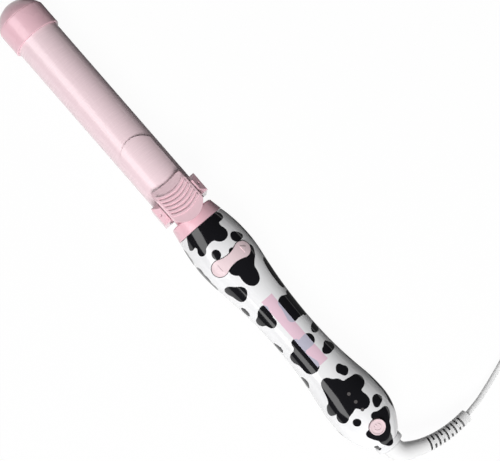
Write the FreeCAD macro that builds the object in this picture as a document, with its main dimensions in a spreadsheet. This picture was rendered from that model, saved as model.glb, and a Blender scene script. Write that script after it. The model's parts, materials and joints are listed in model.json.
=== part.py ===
"""Rotating curling iron: a parametric assembly of separate pieces, in millimetres.

The axis of the iron lies along X, with the tip at +X and the cord at -X, and the buttons face +Z.
The iron lies on its back on the plane Z = 0. Each piece is drawn about the axis, with x counted from the
seam between the handle and the turning collar, and its Placement then carries it to the plane it lies on.
A "station" is a distance from that seam: towards the tip on the barrel, towards the cord on the handle.
A "setback" is a distance from the handle's end towards the seam.
"""
import FreeCAD
import Part
import Sketcher
import math
import os
from types import SimpleNamespace

V = FreeCAD.Vector

SIZES = {
    # Fits
    "fit_gap": 0.03,
    "running_gap": 0.05,
    "button_gap": 0.4,
    "overrun": 1.0,
    # Handle shells: two bulges and a waist, joined by tangent arcs
    "front_bulge_station": 23.6,
    "front_bulge_radius": 20.8,
    "front_arc_radius": 100.0,
    "waist_share": 0.5,
    "waist_radius": 15.15,
    "rear_bulge_setback": 28.0,
    "rear_bulge_radius": 20.8,
    "rear_arc_radius": 110.0,
    "handle_length": 188.0,
    "handle_end_radius": 9.6,
    "shell_wall": 2.2,
    "front_bulkhead": 5.5,
    "rear_bulkhead_station": 38.0,
    "rear_bulkhead": 5.0,
    "end_bulkhead_setback": 8.0,
    "spigot_radius": 8.4,
    "spigot_length": 2.5,
    # Screws that join the shells
    "boss_radius": 3.6,
    "screw_radius": 1.2,
    "screw_head_radius": 2.4,
    "screw_head_height": 1.8,
    "screw_reach": 8.0,
    "screw_seat_depth": 6.0,
    "first_screw_station": 54.0,
    "last_screw_setback": 60.0,
    # End ring and cord swivel
    "ring_radius": 9.85,
    "ring_length": 4.0,
    "ring_edge": 0.3,
    "swivel_bore": 7.3,
    "swivel_journal_radius": 5.0,
    "swivel_flange_radius": 6.2,
    "swivel_flange": 2.0,
    "swivel_flange_setback": 12.0,
    "hub_spigot_radius": 4.0,
    "hub_spigot_length": 2.5,
    "hub_bore": 2.2,
    # Spindle and bearings
    "spindle_radius": 4.5,
    "spindle_bore": 3.0,
    "spindle_front": 30.0,
    "spindle_back_station": 46.0,
    "front_bush_radius": 9.0,
    "front_bush_flange_radius": 10.5,
    "front_bush_flange": 1.5,
    "rear_bush_radius": 7.5,
    "clip_groove_depth": 0.6,
    "clip_ring_thickness": 0.8,
    "clip_ring_radius": 6.6,
    "clip_ring_angle": 290.0,
    # Gear pair and motor
    "gear_module": 0.5,
    "gear_teeth": 32,
    "pinion_teeth": 16,
    "gear_addendum": 0.42,
    "gear_dedendum": 0.62,
    "tooth_root_width": 0.98,
    "tooth_tip_width": 0.34,
    "gear_station": 9.0,
    "gear_width": 4.5,
    "pinion_shaft_radius": 1.5,
    "gearbox_station": 15.5,
    "gearbox_length": 9.0,
    "motor_length": 13.0,
    "motor_width": 12.0,
    "motor_height": 10.0,
    "cradle_width": 10.0,
    "cradle_length": 3.0,
    # Slip rings and brushes
    "drum_station": 15.0,
    "drum_length": 21.0,
    "drum_radius": 5.6,
    "slip_ring_radius": 6.2,
    "slip_ring_width": 3.0,
    "slip_ring_first": 17.0,
    "slip_ring_pitch": 6.5,
    "brush_width": 2.0,
    "brush_holder_width": 8.0,
    "brush_holder_height": 1.4,
    # Rotate rocker, its pin, board and switches
    "rocker_station": 29.5,
    "rocker_lobe_offset": 9.5,
    "rocker_lobe_radius": 5.5,
    "rocker_waist_half_width": 3.4,
    "rocker_proud": 0.8,
    "rocker_thickness": 3.1,
    "rocker_pivot_height": 14.0,
    "rocker_lug_length": 5.0,
    "rocker_lug_width": 4.8,
    "rocker_lug_below": 1.9,
    "rocker_plunger_radius": 1.5,
    "rocker_plunger_gap": 0.8,
    "arrow_height": 0.5,
    "arrow_length": 3.0,
    "arrow_width": 5.2,
    "rocker_pin_radius": 1.0,
    "pin_post_length": 2.2,
    "pin_post_width": 4.0,
    "pin_post_below": 1.8,
    "pin_post_gap": 0.5,
    "switch_board_station": 17.0,
    "switch_board_bottom": 8.5,
    "switch_board_width": 26.0,
    "board_thickness": 1.5,
    "board_post_radius": 1.6,
    "board_post_inset": 3.0,
    "board_post_offset": 9.0,
    "switch_side": 5.2,
    "switch_body_height": 1.9,
    "switch_stem_radius": 1.6,
    "switch_stem_height": 1.4,
    # Control board, lamps and power button
    "control_board_setback": 52.0,
    "control_board_length": 42.0,
    "control_board_bottom": 7.0,
    "control_board_width": 18.0,
    "control_post_inset": 4.0,
    "control_post_setback": 14.5,
    "control_post_offset": 6.5,
    "led_setback": 43.3,
    "led_pitch": 6.55,
    "led_side": 2.0,
    "led_height": 0.8,
    "lens_radius": 1.15,
    "lens_proud": 0.2,
    "chip_length": 9.0,
    "chip_width": 6.0,
    "chip_height": 1.6,
    "capacitor_radius": 3.0,
    "capacitor_height": 5.5,
    "capacitor_offset": 4.0,
    "power_setback": 15.4,
    "power_tilt": 12.0,
    "power_radius": 5.4,
    "power_top": 1.6,
    "power_rim": 0.9,
    "power_dish": 0.35,
    "power_flange_radius": 6.4,
    "power_flange_top": 4.3,
    "power_flange": 0.9,
    "power_switch_height": 1.5,
    "power_switch_stem": 0.6,
    "power_symbol_radius": 2.3,
    "power_symbol_line": 0.55,
    "power_symbol_height": 0.3,
    "power_symbol_gap_angle": 70.0,
    # Barrel, tip and heater
    "barrel_radius": 15.875,
    "barrel_wall": 1.2,
    "barrel_back": 16.0,
    "barrel_front": 166.0,
    "cap_step": 1.525,
    "cap_lap": 1.4,
    "cap_edge": 0.4,
    "cap_skirt": 15.7,
    "cap_crease_depth": 0.3,
    "cap_crease_width": 0.5,
    "cap_shoulder_drop": 0.5,
    "cap_dome_rise": 11.5,
    "cap_wall": 2.4,
    "insulator_depth": 14.0,
    "insulator_wall": 4.175,
    "spreader_back": 40.0,
    "spreader_end_gap": 4.0,
    "spreader_wall": 2.0,
    "heater_inset": 4.0,
    "heater_width": 16.0,
    "heater_thickness": 3.0,
    "sensor_radius": 1.8,
    "sensor_length": 12.0,
    # Base plug, collar and hinge saddle
    "neck_step": 3.175,
    "plug_length": 30.0,
    "plug_wall": 3.675,
    "plug_floor": 4.0,
    "collar_back": 0.4,
    "collar_front": 9.8,
    "collar_front_step": 0.425,
    "collar_edge": 0.7,
    "collar_wall": 2.0,
    "saddle_back": 14.6,
    "saddle_front": 28.6,
    "saddle_wall": 1.725,
    "saddle_floor": 1.4,
    "cheek_gap": 0.4,
    "cheek_thickness": 5.1,
    "cheek_land": 1.3,
    "cheek_fall": 4.8,
    "cheek_rise": 6.525,
    "cheek_chamfer": 3.2,
    "cheek_slope": 5.0,
    "heel_height": 4.0,
    "saddle_screw_radius": 0.9,
    "saddle_screw_head_radius": 1.5,
    "saddle_screw_head": 1.0,
    "saddle_screw_reach": 8.0,
    # Hair clip
    "hinge_station": 21.3,
    "hinge_rise": 4.125,
    "hinge_pin_radius": 1.0,
    "hinge_pin_seat": 2.7,
    "knuckle_radius": 2.1,
    "clip_opening": 22.0,
    "clip_spare_angle": 2.0,
    "spoon_gap": 0.375,
    "spoon_thickness": 0.9,
    "spoon_back_gap": 0.6,
    "spoon_tip": 72.0,
    "spoon_half_width": 12.8,
    "spoon_tip_radius": 15.5,
    "lever_front": 36.4,
    "lever_tail": 5.6,
    "lever_half_width": 12.5,
    "lever_tail_round": 8.0,
    "lever_front_thickness": 1.3,
    "lever_front_hollow": 1.3,
    "lever_front_corner": 2.4,
    "lever_edge": 1.1,
    "lever_skirt_drop": 2.275,
    "lever_ramp_end": 29.5,
    "lever_ramp_rise": 6.525,
    "lever_tail_thickness": 2.4,
    "rib_count": 6,
    "rib_pitch": 3.0,
    "rib_first": 27.0,
    "rib_radius": 20.0,
    "rib_width": 1.3,
    "rib_height": 0.8,
    "rib_half_length": 10.6,
    "rivet_radius": 1.2,
    "rivet_offset": 6.5,
    "rivet_reach": 2.4,
    "spring_wire": 0.8,
    "spring_turns": 4,
    "spring_gap": 0.5,
    "spring_leg": 8.0,
    "spring_room": 0.35,
    # Cord boot: an elbow and a ribbed tail that droops a little
    "boot_radius": 7.1,
    "boot_start_gap": 0.3,
    "boot_straight": 1.5,
    "boot_elbow_radius": 10.3,
    "boot_elbow_angle": 59.0,
    "boot_tail_radius": 87.0,
    "boot_tail_length": 51.0,
    "boot_droop": 12.0,
    "boot_elbow_end_radius": 6.3,
    "boot_rib_start_radius": 5.1,
    "boot_end_radius": 4.3,
    "boot_core_radius": 3.1,
    "boot_rib_count": 9,
    "boot_rib_pitch": 3.4,
    "boot_rib_width": 1.9,
    "boot_web_width": 2.6,
    "boot_collar_length": 4.6,
    # Cord, coil, tie and plug
    "cord_diameter": 3.6,
    "cord_run_diameters": 3,
    "coil_gap": 0.9,
    "coil_outer_radius": 28.5,
    "coil_layer_half_turns": 7,
    "coil_offset_x": -13.0,
    "coil_offset_y": -71.0,
    "coil_start_angle": 15.0,
    "tie_thickness": 1.1,
    "tie_width": 7.0,
    "tie_room": 0.4,
    "plug_length_mains": 30.0,
    "plug_width": 24.0,
    "plug_height": 15.0,
    "plug_nose_width": 12.0,
    "plug_nose_height": 9.0,
    "blade_length": 17.0,
    "blade_width": 6.35,
    "blade_thickness": 1.5,
    "blade_pitch": 12.7,
    "blade_seat": 5.0,
}

OUT, IN = (0, 1), (0, -1)
TIPWARD, CORDWARD = (1, 0), (-1, 0)


class Size:
    """A number together with the sheet expression that it comes from."""

    def __init__(self, value, text):
        self.value = value
        self.text = text

    def __add__(self, other):
        other = as_size(other)
        return Size(self.value + other.value, f"({self.text} + {other.text})")

    def __sub__(self, other):
        other = as_size(other)
        return Size(self.value - other.value, f"({self.text} - {other.text})")

    def __mul__(self, other):
        other = as_size(other)
        return Size(self.value * other.value, f"({self.text} * {other.text})")

    def __truediv__(self, other):
        other = as_size(other)
        return Size(self.value / other.value, f"({self.text} / {other.text})")

    def __radd__(self, other):
        return as_size(other) + self

    def __rsub__(self, other):
        return as_size(other) - self

    def __rmul__(self, other):
        return as_size(other) * self

    def __neg__(self):
        return Size(-self.value, f"(-1 * {self.text})")


def as_size(item):
    return item if isinstance(item, Size) else Size(item, repr(item))


def number(item):
    return float(as_size(item).value)


def square(item):
    return item * item


def root(item):
    return Size(math.sqrt(item.value), f"sqrt({item.text})")


def sine(degrees):
    return Size(math.sin(math.radians(degrees.value)), f"sin({degrees.text})")


def cosine(degrees):
    return Size(math.cos(math.radians(degrees.value)), f"cos({degrees.text})")


def arc_sine(ratio):
    return Size(math.degrees(math.asin(ratio.value)), f"asin({ratio.text}) / 1 deg")


doc = FreeCAD.newDocument("curling_iron")
sheet = doc.addObject("Spreadsheet::Sheet", "Sizes")
for row, (alias, amount) in enumerate(SIZES.items(), start=1):
    sheet.set(f"A{row}", alias)
    sheet.set(f"B{row}", str(amount))
    sheet.setAlias(f"B{row}", alias)
doc.recompute()
size = SimpleNamespace(**{alias: Size(sheet.get(alias), f"Sizes.{alias}") for alias in SIZES})

# Places on the handle that follow its length, as stations
waist_station = size.handle_length * size.waist_share
rear_bulge_station = size.handle_length - size.rear_bulge_setback
end_bulkhead_station = size.handle_length - size.end_bulkhead_setback
last_screw_station = size.handle_length - size.last_screw_setback
swivel_flange_station = size.handle_length - size.swivel_flange_setback
control_board_station = size.handle_length - size.control_board_setback
led_station = size.handle_length - size.led_setback
power_station = size.handle_length - size.power_setback

# Radii and heights that follow the barrel's radius
barrel_inner = size.barrel_radius - size.barrel_wall
cap_radius = size.barrel_radius + size.cap_step
insulator_bore = barrel_inner - size.insulator_wall
neck_radius = barrel_inner - size.neck_step
plug_bore = barrel_inner - size.plug_wall
collar_front_radius = size.barrel_radius + size.collar_front_step
saddle_radius = size.barrel_radius + size.saddle_wall
cheek_inner = size.lever_half_width + size.cheek_gap
cheek_outer = cheek_inner + size.cheek_thickness
cheek_top = size.barrel_radius + size.cheek_rise
hinge_height = size.barrel_radius + size.hinge_rise
lever_skirt_height = size.barrel_radius - size.lever_skirt_drop
lever_ramp_height = size.barrel_radius + size.lever_ramp_rise

# Places on the barrel that follow its front edge
cap_crease = size.barrel_front + size.cap_skirt
cap_apex = cap_crease + size.cap_crease_width + size.cap_dome_rise
spreader_length = size.barrel_front - size.insulator_depth - size.spreader_end_gap - size.spreader_back
heater_length = spreader_length - 2 * size.heater_inset

# Frame: the seam's place along X centres the iron between its tip and its end ring.
ring_end = size.handle_length + size.ring_length
seam_x = (ring_end - cap_apex) / 2
axis_height = size.front_bulge_radius
subparts = []


def bind(thing, field, length):
    """Tie one property to the sheet."""
    thing.setExpression(field, as_size(length).text)


def finish(thing):
    """Keep a piece as a sub-part and carry it from the axis to where the iron lies."""
    bind(thing, "Placement.Base.x", seam_x)
    bind(thing, "Placement.Base.z", axis_height)
    subparts.append(thing)
    return thing


def new_body(label):
    return doc.addObject("PartDesign::Body", label)


def new_sketch(body, plane, offset=0):
    sketch = body.newObject("Sketcher::SketchObject", f"{body.Name}_sketch")
    support = [feature for feature in body.Origin.OriginFeatures if feature.Role == f"{plane}_Plane"]
    sketch.AttachmentSupport = [(support[0], "")]
    sketch.MapMode = "FlatFace"
    if isinstance(offset, Size):
        bind(sketch, "AttachmentOffset.Base.z", offset)
    return sketch


def bulging_arc(start, end, radius, toward):
    """The shorter arc from start to end whose middle lies on the given side of their chord."""
    chord = end - start
    side = V(-chord.y, chord.x, 0).normalize()
    if side.x * toward[0] + side.y * toward[1] < 0:
        side = side * -1
    reach = math.sqrt(max(radius ** 2 - (chord.Length / 2) ** 2, 0))
    centre = (start + end) / 2 - side * reach
    turn = math.atan2(start.y - centre.y, start.x - centre.x)
    stop = math.atan2(end.y - centre.y, end.x - centre.x)
    if (stop - turn) % (2 * math.pi) > math.pi:
        turn, stop = stop, turn
    if stop < turn:
        stop += 2 * math.pi
    return Part.ArcOfCircle(Part.Circle(centre, V(0, 0, 1), radius), turn, stop)


def hold_point(sketch, edge, end, x, y):
    """Hold a sketch point at x, y in named sizes, or on an axis where one of them is zero."""
    for kind, axis, length in (("DistanceX", -2, x), ("DistanceY", -1, y)):
        if isinstance(length, Size):
            constraint = Sketcher.Constraint(kind, -1, 1, edge, end, number(length))
            bind(sketch, f"Constraints[{sketch.addConstraint(constraint)}]", length)
        else:
            sketch.addConstraint(Sketcher.Constraint("PointOnObject", edge, end, axis))


def hold_radius(sketch, edge, radius):
    constraint = Sketcher.Constraint("Radius", edge, number(radius))
    bind(sketch, f"Constraints[{sketch.addConstraint(constraint)}]", radius)


def outline(sketch, points):
    """Draw a closed outline through points (x, y); a point (x, y, radius, side) starts an arc."""
    corners = [V(number(point[0]), number(point[1]), 0) for point in points]
    first = sketch.GeometryCount
    edges = []
    for place, point in enumerate(points):
        start = corners[place]
        end = corners[(place + 1) % len(points)]
        if len(point) > 2:
            edges.append(bulging_arc(start, end, number(point[2]), point[3]))
        else:
            edges.append(Part.LineSegment(start, end))
    sketch.addGeometry(edges, False)
    ends = []
    for edge, corner in zip(edges, corners):
        forward = (edge.StartPoint - corner).Length < (edge.EndPoint - corner).Length
        ends.append((1, 2) if forward else (2, 1))
    for place, point in enumerate(points):
        after = (place + 1) % len(points)
        sketch.addConstraint(Sketcher.Constraint(
            "Coincident", first + place, ends[place][1], first + after, ends[after][0]))
    for place, point in enumerate(points):
        hold_point(sketch, first + place, ends[place][0], point[0], point[1])
        if len(point) > 2:
            hold_radius(sketch, first + place, point[2])
    return sketch


def circle(sketch, x, y, radius):
    edge = sketch.addGeometry(Part.Circle(V(number(x), number(y), 0), V(0, 0, 1), number(radius)), False)
    hold_point(sketch, edge, 3, x, y)
    hold_radius(sketch, edge, radius)
    return sketch


def rectangle(sketch, low_x, high_x, low_y, high_y):
    return outline(sketch, [(low_x, low_y), (high_x, low_y), (high_x, high_y), (low_x, high_y)])


def revolve(body, sketch, angle=None, reverse=False, symmetric=False):
    """Turn a sketch about the axis of the iron."""
    turned = body.newObject("PartDesign::Revolution", f"{body.Name}_turned")
    turned.Profile = sketch
    turned.ReferenceAxis = (sketch, ["H_Axis"])
    turned.Reversed = reverse
    turned.Midplane = symmetric
    if isinstance(angle, Size):
        bind(turned, "Angle", angle)
    else:
        turned.Angle = angle or 360
    return turned


def extrude(body, sketch, kind, length=None, reverse=False, symmetric=False):
    """Pad or pocket a sketch; a pocket with no length goes right through."""
    feature = body.newObject(f"PartDesign::{kind}", f"{body.Name}_{kind.lower()}")
    feature.Profile = sketch
    feature.Reversed = reverse
    if symmetric:
        feature.SideType = "Symmetric"
    if length is None:
        feature.Type = "ThroughAll"
    else:
        bind(feature, "Length", length)
    return feature


def cut_checked(body, make):
    """Run a cutting step and make sure that it took material away."""
    doc.recompute()
    before = body.Shape.Volume
    made = make()
    doc.recompute()
    if not body.Shape.Volume < before:
        raise RuntimeError(f"a cut in {body.Label} took nothing away")
    return made


def turned_piece(label, points):
    """A piece turned about the axis, from its outline in x and radius."""
    body = new_body(label)
    revolve(body, outline(new_sketch(body, "XZ"), points))
    return finish(body)


def ring_points(low_x, high_x, inner, outer):
    return [(low_x, inner), (low_x, outer), (high_x, outer), (high_x, inner)]


def box(label, low_x, high_x, low_y, high_y, low_z, high_z):
    block = doc.addObject("Part::Box", label)
    bind(block, "Length", high_x - low_x)
    bind(block, "Width", high_y - low_y)
    bind(block, "Height", high_z - low_z)
    bind(block, "Placement.Base.x", low_x)
    bind(block, "Placement.Base.y", low_y)
    bind(block, "Placement.Base.z", low_z)
    return block


def block(label, low_x, high_x, low_y, high_y, low_z, high_z):
    """A plain block that is a piece of its own."""
    body = new_body(label)
    base = rectangle(new_sketch(body, "XY", low_z), low_x, high_x, low_y, high_y)
    extrude(body, base, "Pad", high_z - low_z)
    return finish(body)


DIRECTIONS = {
    "X": FreeCAD.Rotation(V(0, 1, 0), 90),
    "Y": FreeCAD.Rotation(V(1, 0, 0), -90),
    "Z": FreeCAD.Rotation(),
}


def rod(label, direction, start, radius, length):
    """A cylinder from start (x, y, z) along one axis."""
    cylinder = doc.addObject("Part::Cylinder", label)
    cylinder.Placement.Rotation = DIRECTIONS[direction]
    bind(cylinder, "Radius", radius)
    bind(cylinder, "Height", length)
    for name, place in zip("xyz", start):
        bind(cylinder, f"Placement.Base.{name}", place)
    return cylinder


def fuse(label, pieces):
    joined = doc.addObject("Part::MultiFuse", label)
    joined.Shapes = pieces
    joined.Refine = True
    return joined


def common(label, base, tool):
    shared = doc.addObject("Part::Common", label)
    shared.Base = base
    shared.Tool = tool
    return shared


def cut(label, base, tool):
    left = doc.addObject("Part::Cut", label)
    left.Base = base
    left.Tool = tool
    return left


def group(label, pieces):
    """Like pieces that share one node."""
    gathered = doc.addObject("Part::Compound", label)
    gathered.Links = pieces
    return gathered


# Handle outline: centres and radii of its five arcs, and the points where they meet.
front_run = waist_station - size.front_bulge_station
front_drop = size.front_bulge_radius - size.waist_radius
front_pair = (square(front_run) + square(front_drop)) / (2 * front_drop)
front_waist_radius = front_pair - size.front_arc_radius
rear_run = rear_bulge_station - waist_station
rear_drop = size.rear_bulge_radius - size.waist_radius
rear_pair = (square(rear_run) + square(rear_drop)) / (2 * rear_drop)
rear_waist_radius = rear_pair - size.rear_arc_radius
end_run = size.handle_length - rear_bulge_station
end_drop = size.rear_bulge_radius - size.handle_end_radius
end_arc_radius = (square(end_run) + square(end_drop)) / (2 * end_drop)


def front_radius(station, inset=0):
    """Radius of the front bulge at a station, on its surface or a distance below it."""
    centre = size.front_bulge_radius - size.front_arc_radius
    return centre + root(square(size.front_arc_radius - inset)
                         - square(station - size.front_bulge_station))


def front_waist(station, inset=0):
    centre = size.waist_radius + front_waist_radius
    return centre - root(square(front_waist_radius + inset) - square(station - waist_station))


def rear_waist(station, inset=0):
    centre = size.waist_radius + rear_waist_radius
    return centre - root(square(rear_waist_radius + inset) - square(station - waist_station))


def rear_radius(station, inset=0):
    centre = size.rear_bulge_radius - size.rear_arc_radius
    return centre + root(square(size.rear_arc_radius - inset)
                         - square(station - rear_bulge_station))


def end_radius(station, inset=0):
    centre = size.rear_bulge_radius - end_arc_radius
    return centre + root(square(end_arc_radius - inset) - square(station - rear_bulge_station))


def front_meeting(inset=0):
    """Where the front bulge's arc meets the waist's, as station and radius."""
    share = (size.front_arc_radius - inset) / front_pair
    low = size.front_bulge_radius - size.front_arc_radius
    high = size.waist_radius + front_waist_radius
    return size.front_bulge_station + front_run * share, low + (high - low) * share


def rear_meeting(inset=0):
    share = (size.rear_arc_radius - inset) / rear_pair
    low = size.rear_bulge_radius - size.rear_arc_radius
    high = size.waist_radius + rear_waist_radius
    return rear_bulge_station - rear_run * share, low + (high - low) * share


def shell_outline():
    """Half section of the shells: outside from seam to end, then back along the bulkheads and wall."""
    wall = size.shell_wall
    meet_station, meet_radius = front_meeting()
    rear_station, rear_meet_radius = rear_meeting()
    inner_rear_station, inner_rear_radius = rear_meeting(wall)
    spigot_end = size.handle_length + size.spigot_length
    bush_back = size.rear_bulkhead_station + size.rear_bulkhead
    return [
        (0, front_radius(as_size(0)), size.front_arc_radius, OUT),
        (-meet_station, meet_radius, front_waist_radius, IN),
        (-waist_station, size.waist_radius, rear_waist_radius, IN),
        (-rear_station, rear_meet_radius, size.rear_arc_radius, OUT),
        (-rear_bulge_station, size.rear_bulge_radius, end_arc_radius, OUT),
        (-size.handle_length, size.handle_end_radius),
        (-size.handle_length, size.spigot_radius),
        (-spigot_end, size.spigot_radius),
        (-spigot_end, size.swivel_bore),
        (-end_bulkhead_station, size.swivel_bore),
        (-end_bulkhead_station, end_radius(end_bulkhead_station, wall),
         end_arc_radius - wall, OUT),
        (-rear_bulge_station, size.rear_bulge_radius - wall, size.rear_arc_radius - wall, OUT),
        (-inner_rear_station, inner_rear_radius, rear_waist_radius + wall, IN),
        (-waist_station, size.waist_radius - wall, front_waist_radius + wall, IN),
        (-bush_back, front_waist(bush_back, wall)),
        (-bush_back, size.rear_bush_radius),
        (-size.rear_bulkhead_station, size.rear_bush_radius),
        (-size.rear_bulkhead_station, front_radius(size.rear_bulkhead_station, wall),
         size.front_arc_radius - wall, OUT),
        (-size.front_bulkhead, front_radius(size.front_bulkhead, wall)),
        (-size.front_bulkhead, size.front_bush_radius),
        (0, size.front_bush_radius),
    ]


def screw_stations():
    middle = (size.first_screw_station + last_screw_station) / 2
    return [size.first_screw_station, middle, last_screw_station]


def add_bosses(body, reverse):
    """Screw pillars from the parting plane into the middle of the wall."""
    for station, surface in zip(screw_stations(), (front_waist, front_waist, rear_waist)):
        boss = circle(new_sketch(body, "XY"), -station, 0, size.boss_radius)
        extrude(body, boss, "Pad", surface(station, size.shell_wall / 2), reverse=reverse)


# Heights inside the handle that several pieces share.
switch_board_top = size.switch_board_bottom + size.board_thickness
switch_top = switch_board_top + size.switch_body_height + size.switch_stem_height
control_board_top = size.control_board_bottom + size.board_thickness
control_board_end = control_board_station + size.control_board_length
pin_post_near = size.rocker_station - size.rocker_waist_half_width - size.button_gap - size.pin_post_gap
pin_post_far = size.rocker_station + size.rocker_waist_half_width + size.button_gap + size.pin_post_gap
motor_axis_depth = size.gear_module * (size.gear_teeth + size.pinion_teeth) / 2
motor_floor = motor_axis_depth + size.motor_height / 2
power_surface = end_radius(power_station)
collar_back_radius = front_radius(as_size(0))


def bone_points(margin):
    """Dog-bone outline of the rocker, seen from the front, grown by a margin."""
    lobe = size.rocker_lobe_radius + margin
    half_waist = size.rocker_waist_half_width + margin
    centre_x = -size.rocker_station
    offset = size.rocker_lobe_offset
    # The waist's arc is tangent to both lobes: its centre lies on the middle line of the bone.
    waist_arc = (square(offset) + square(half_waist) - square(lobe)) / (2 * (lobe - half_waist))
    lean = lobe / (lobe + waist_arc)
    touch_x = (half_waist + waist_arc) * lean
    touch_y = offset - offset * lean
    tip_y = offset + lobe
    return [
        (centre_x + touch_x, -touch_y, waist_arc, CORDWARD),
        (centre_x + touch_x, touch_y, lobe, TIPWARD),
        (centre_x + lobe, offset, lobe, (1, 1)),
        (centre_x, tip_y, lobe, (-1, 1)),
        (centre_x - lobe, offset, lobe, CORDWARD),
        (centre_x - touch_x, touch_y, waist_arc, TIPWARD),
        (centre_x - touch_x, -touch_y, lobe, CORDWARD),
        (centre_x - lobe, -offset, lobe, (-1, -1)),
        (centre_x, -tip_y, lobe, (1, -1)),
        (centre_x + lobe, -offset, lobe, TIPWARD),
    ]


def power_frame(sketch, lift):
    """Set a sketch square to the power button's leaning axis, a distance above the handle's surface."""
    lean_x = sine(size.power_tilt)
    lean_z = cosine(size.power_tilt)
    sketch.AttachmentOffset = FreeCAD.Placement(V(), FreeCAD.Rotation(V(0, -1, 0), 1))
    bind(sketch, "AttachmentOffset.Base.x", -power_station - lean_x * lift)
    bind(sketch, "AttachmentOffset.Base.z", power_surface + lean_z * lift)
    bind(sketch, "AttachmentOffset.Rotation.Angle", size.power_tilt)
    return sketch


def make_front_shell():
    body = new_body("front_shell")
    revolve(body, outline(new_sketch(body, "XY"), shell_outline()), angle=180)
    add_bosses(body, False)
    post_reach = front_radius(size.rocker_station) - size.shell_wall / 2
    for low, high in ((pin_post_near - size.pin_post_length, pin_post_near),
                      (pin_post_far, pin_post_far + size.pin_post_length)):
        post = new_sketch(body, "XY", size.rocker_pivot_height - size.pin_post_below)
        rectangle(post, -high, -low, -size.pin_post_width / 2, size.pin_post_width / 2)
        extrude(body, post, "Pad", post_reach - size.rocker_pivot_height + size.pin_post_below)
    board_post = size.switch_board_station + size.board_post_inset
    post_top = front_radius(board_post) - size.shell_wall / 2
    for side in (-1, 1):
        post = new_sketch(body, "XY", switch_board_top)
        offset = size.board_post_offset
        circle(post, -board_post, side * offset, size.board_post_radius)
        reach = root(square(post_top) - square(offset + size.board_post_radius)) - switch_board_top
        extrude(body, post, "Pad", reach)
    for station, surface in (
            (control_board_station + size.control_post_inset, rear_radius),
            (control_board_end - size.control_post_setback, end_radius)):
        outer = size.control_post_offset + size.board_post_radius
        reach = root(square(surface(station) - size.shell_wall / 2) - square(outer)) - control_board_top
        for side in (-1, 1):
            post = new_sketch(body, "XY", control_board_top)
            circle(post, -station, side * size.control_post_offset, size.board_post_radius)
            extrude(body, post, "Pad", reach)
    for station in screw_stations():
        hole = circle(new_sketch(body, "XY"), -station, 0, size.screw_radius + size.fit_gap)
        cut_checked(body, lambda: extrude(
            body, hole, "Pocket", size.screw_reach + size.overrun, reverse=True))
    pin_hole = new_sketch(body, "YZ", -(pin_post_near - size.pin_post_length - size.overrun))
    circle(pin_hole, 0, size.rocker_pivot_height, size.rocker_pin_radius + size.fit_gap)
    pin_reach = pin_post_far - pin_post_near + 2 * size.pin_post_length + 2 * size.overrun
    cut_checked(body, lambda: extrude(body, pin_hole, "Pocket", pin_reach))
    opening = outline(new_sketch(body, "XY"), bone_points(size.button_gap))
    cut_checked(body, lambda: extrude(body, opening, "Pocket", reverse=True))
    for place in range(3):
        lamp_x = -(led_station + size.led_pitch * place)
        lamp = circle(new_sketch(body, "XY"), lamp_x, 0, size.lens_radius + size.fit_gap)
        cut_checked(body, lambda: extrude(body, lamp, "Pocket", reverse=True))
    key = power_frame(new_sketch(body, "XY"), -size.power_flange_top - size.power_flange)
    circle(key, 0, 0, size.power_radius + size.button_gap)
    cut_checked(body, lambda: extrude(body, key, "Pocket", reverse=True))
    return finish(body)


def make_rear_shell():
    body = new_body("rear_shell")
    revolve(body, outline(new_sketch(body, "XY"), shell_outline()), angle=180, reverse=True)
    add_bosses(body, True)
    for low in (size.gearbox_station + size.cradle_length,
                size.gearbox_station + size.gearbox_length + size.cradle_length):
        cradle = new_sketch(body, "XY", -motor_floor)
        high = low + size.cradle_length
        rectangle(cradle, -high, -low, -size.cradle_width / 2, size.cradle_width / 2)
        wall_reach = front_radius(low) - size.shell_wall / 2
        depth = root(square(wall_reach) - square(size.cradle_width / 2)) - motor_floor
        extrude(body, cradle, "Pad", depth, reverse=True)
    for station in screw_stations():
        hole = circle(new_sketch(body, "XY"), -station, 0, size.screw_radius + size.running_gap)
        cut_checked(body, lambda: extrude(body, hole, "Pocket"))
        seat = new_sketch(body, "XY", -size.screw_seat_depth)
        circle(seat, -station, 0, size.screw_head_radius + size.running_gap)
        cut_checked(body, lambda: extrude(body, seat, "Pocket"))
    return finish(body)


def make_shell_screws():
    screws = []
    for place, station in enumerate(screw_stations()):
        shank = rod(f"screw_shank_{place}", "Z", (-station, 0, -size.screw_seat_depth),
                    size.screw_radius, size.screw_seat_depth + size.screw_reach)
        head = rod(f"screw_head_{place}", "Z",
                   (-station, 0, -size.screw_seat_depth - size.screw_head_height),
                   size.screw_head_radius, size.screw_head_height)
        slot_half = size.screw_radius / 4
        slot = box(f"screw_slot_{place}", -station - size.screw_head_radius,
                   -station + size.screw_head_radius, -slot_half, slot_half,
                   -size.screw_seat_depth - size.screw_head_height,
                   -size.screw_seat_depth - size.screw_head_height / 2)
        screws.append(cut(f"screw_{place}", fuse(f"screw_blank_{place}", [shank, head]), slot))
    return finish(group("shell_screws", screws))


def make_end_ring():
    step = size.handle_length + size.spigot_length
    bore = size.boot_radius + size.boot_start_gap
    edge = size.ring_edge
    return turned_piece("end_ring", [
        (-size.handle_length, size.spigot_radius + size.fit_gap),
        (-size.handle_length, size.ring_radius - edge),
        (-size.handle_length - edge, size.ring_radius),
        (-ring_end + edge, size.ring_radius),
        (-ring_end, size.ring_radius - edge),
        (-ring_end, bore),
        (-step, bore),
        (-step, size.spigot_radius + size.fit_gap),
    ])


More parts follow.
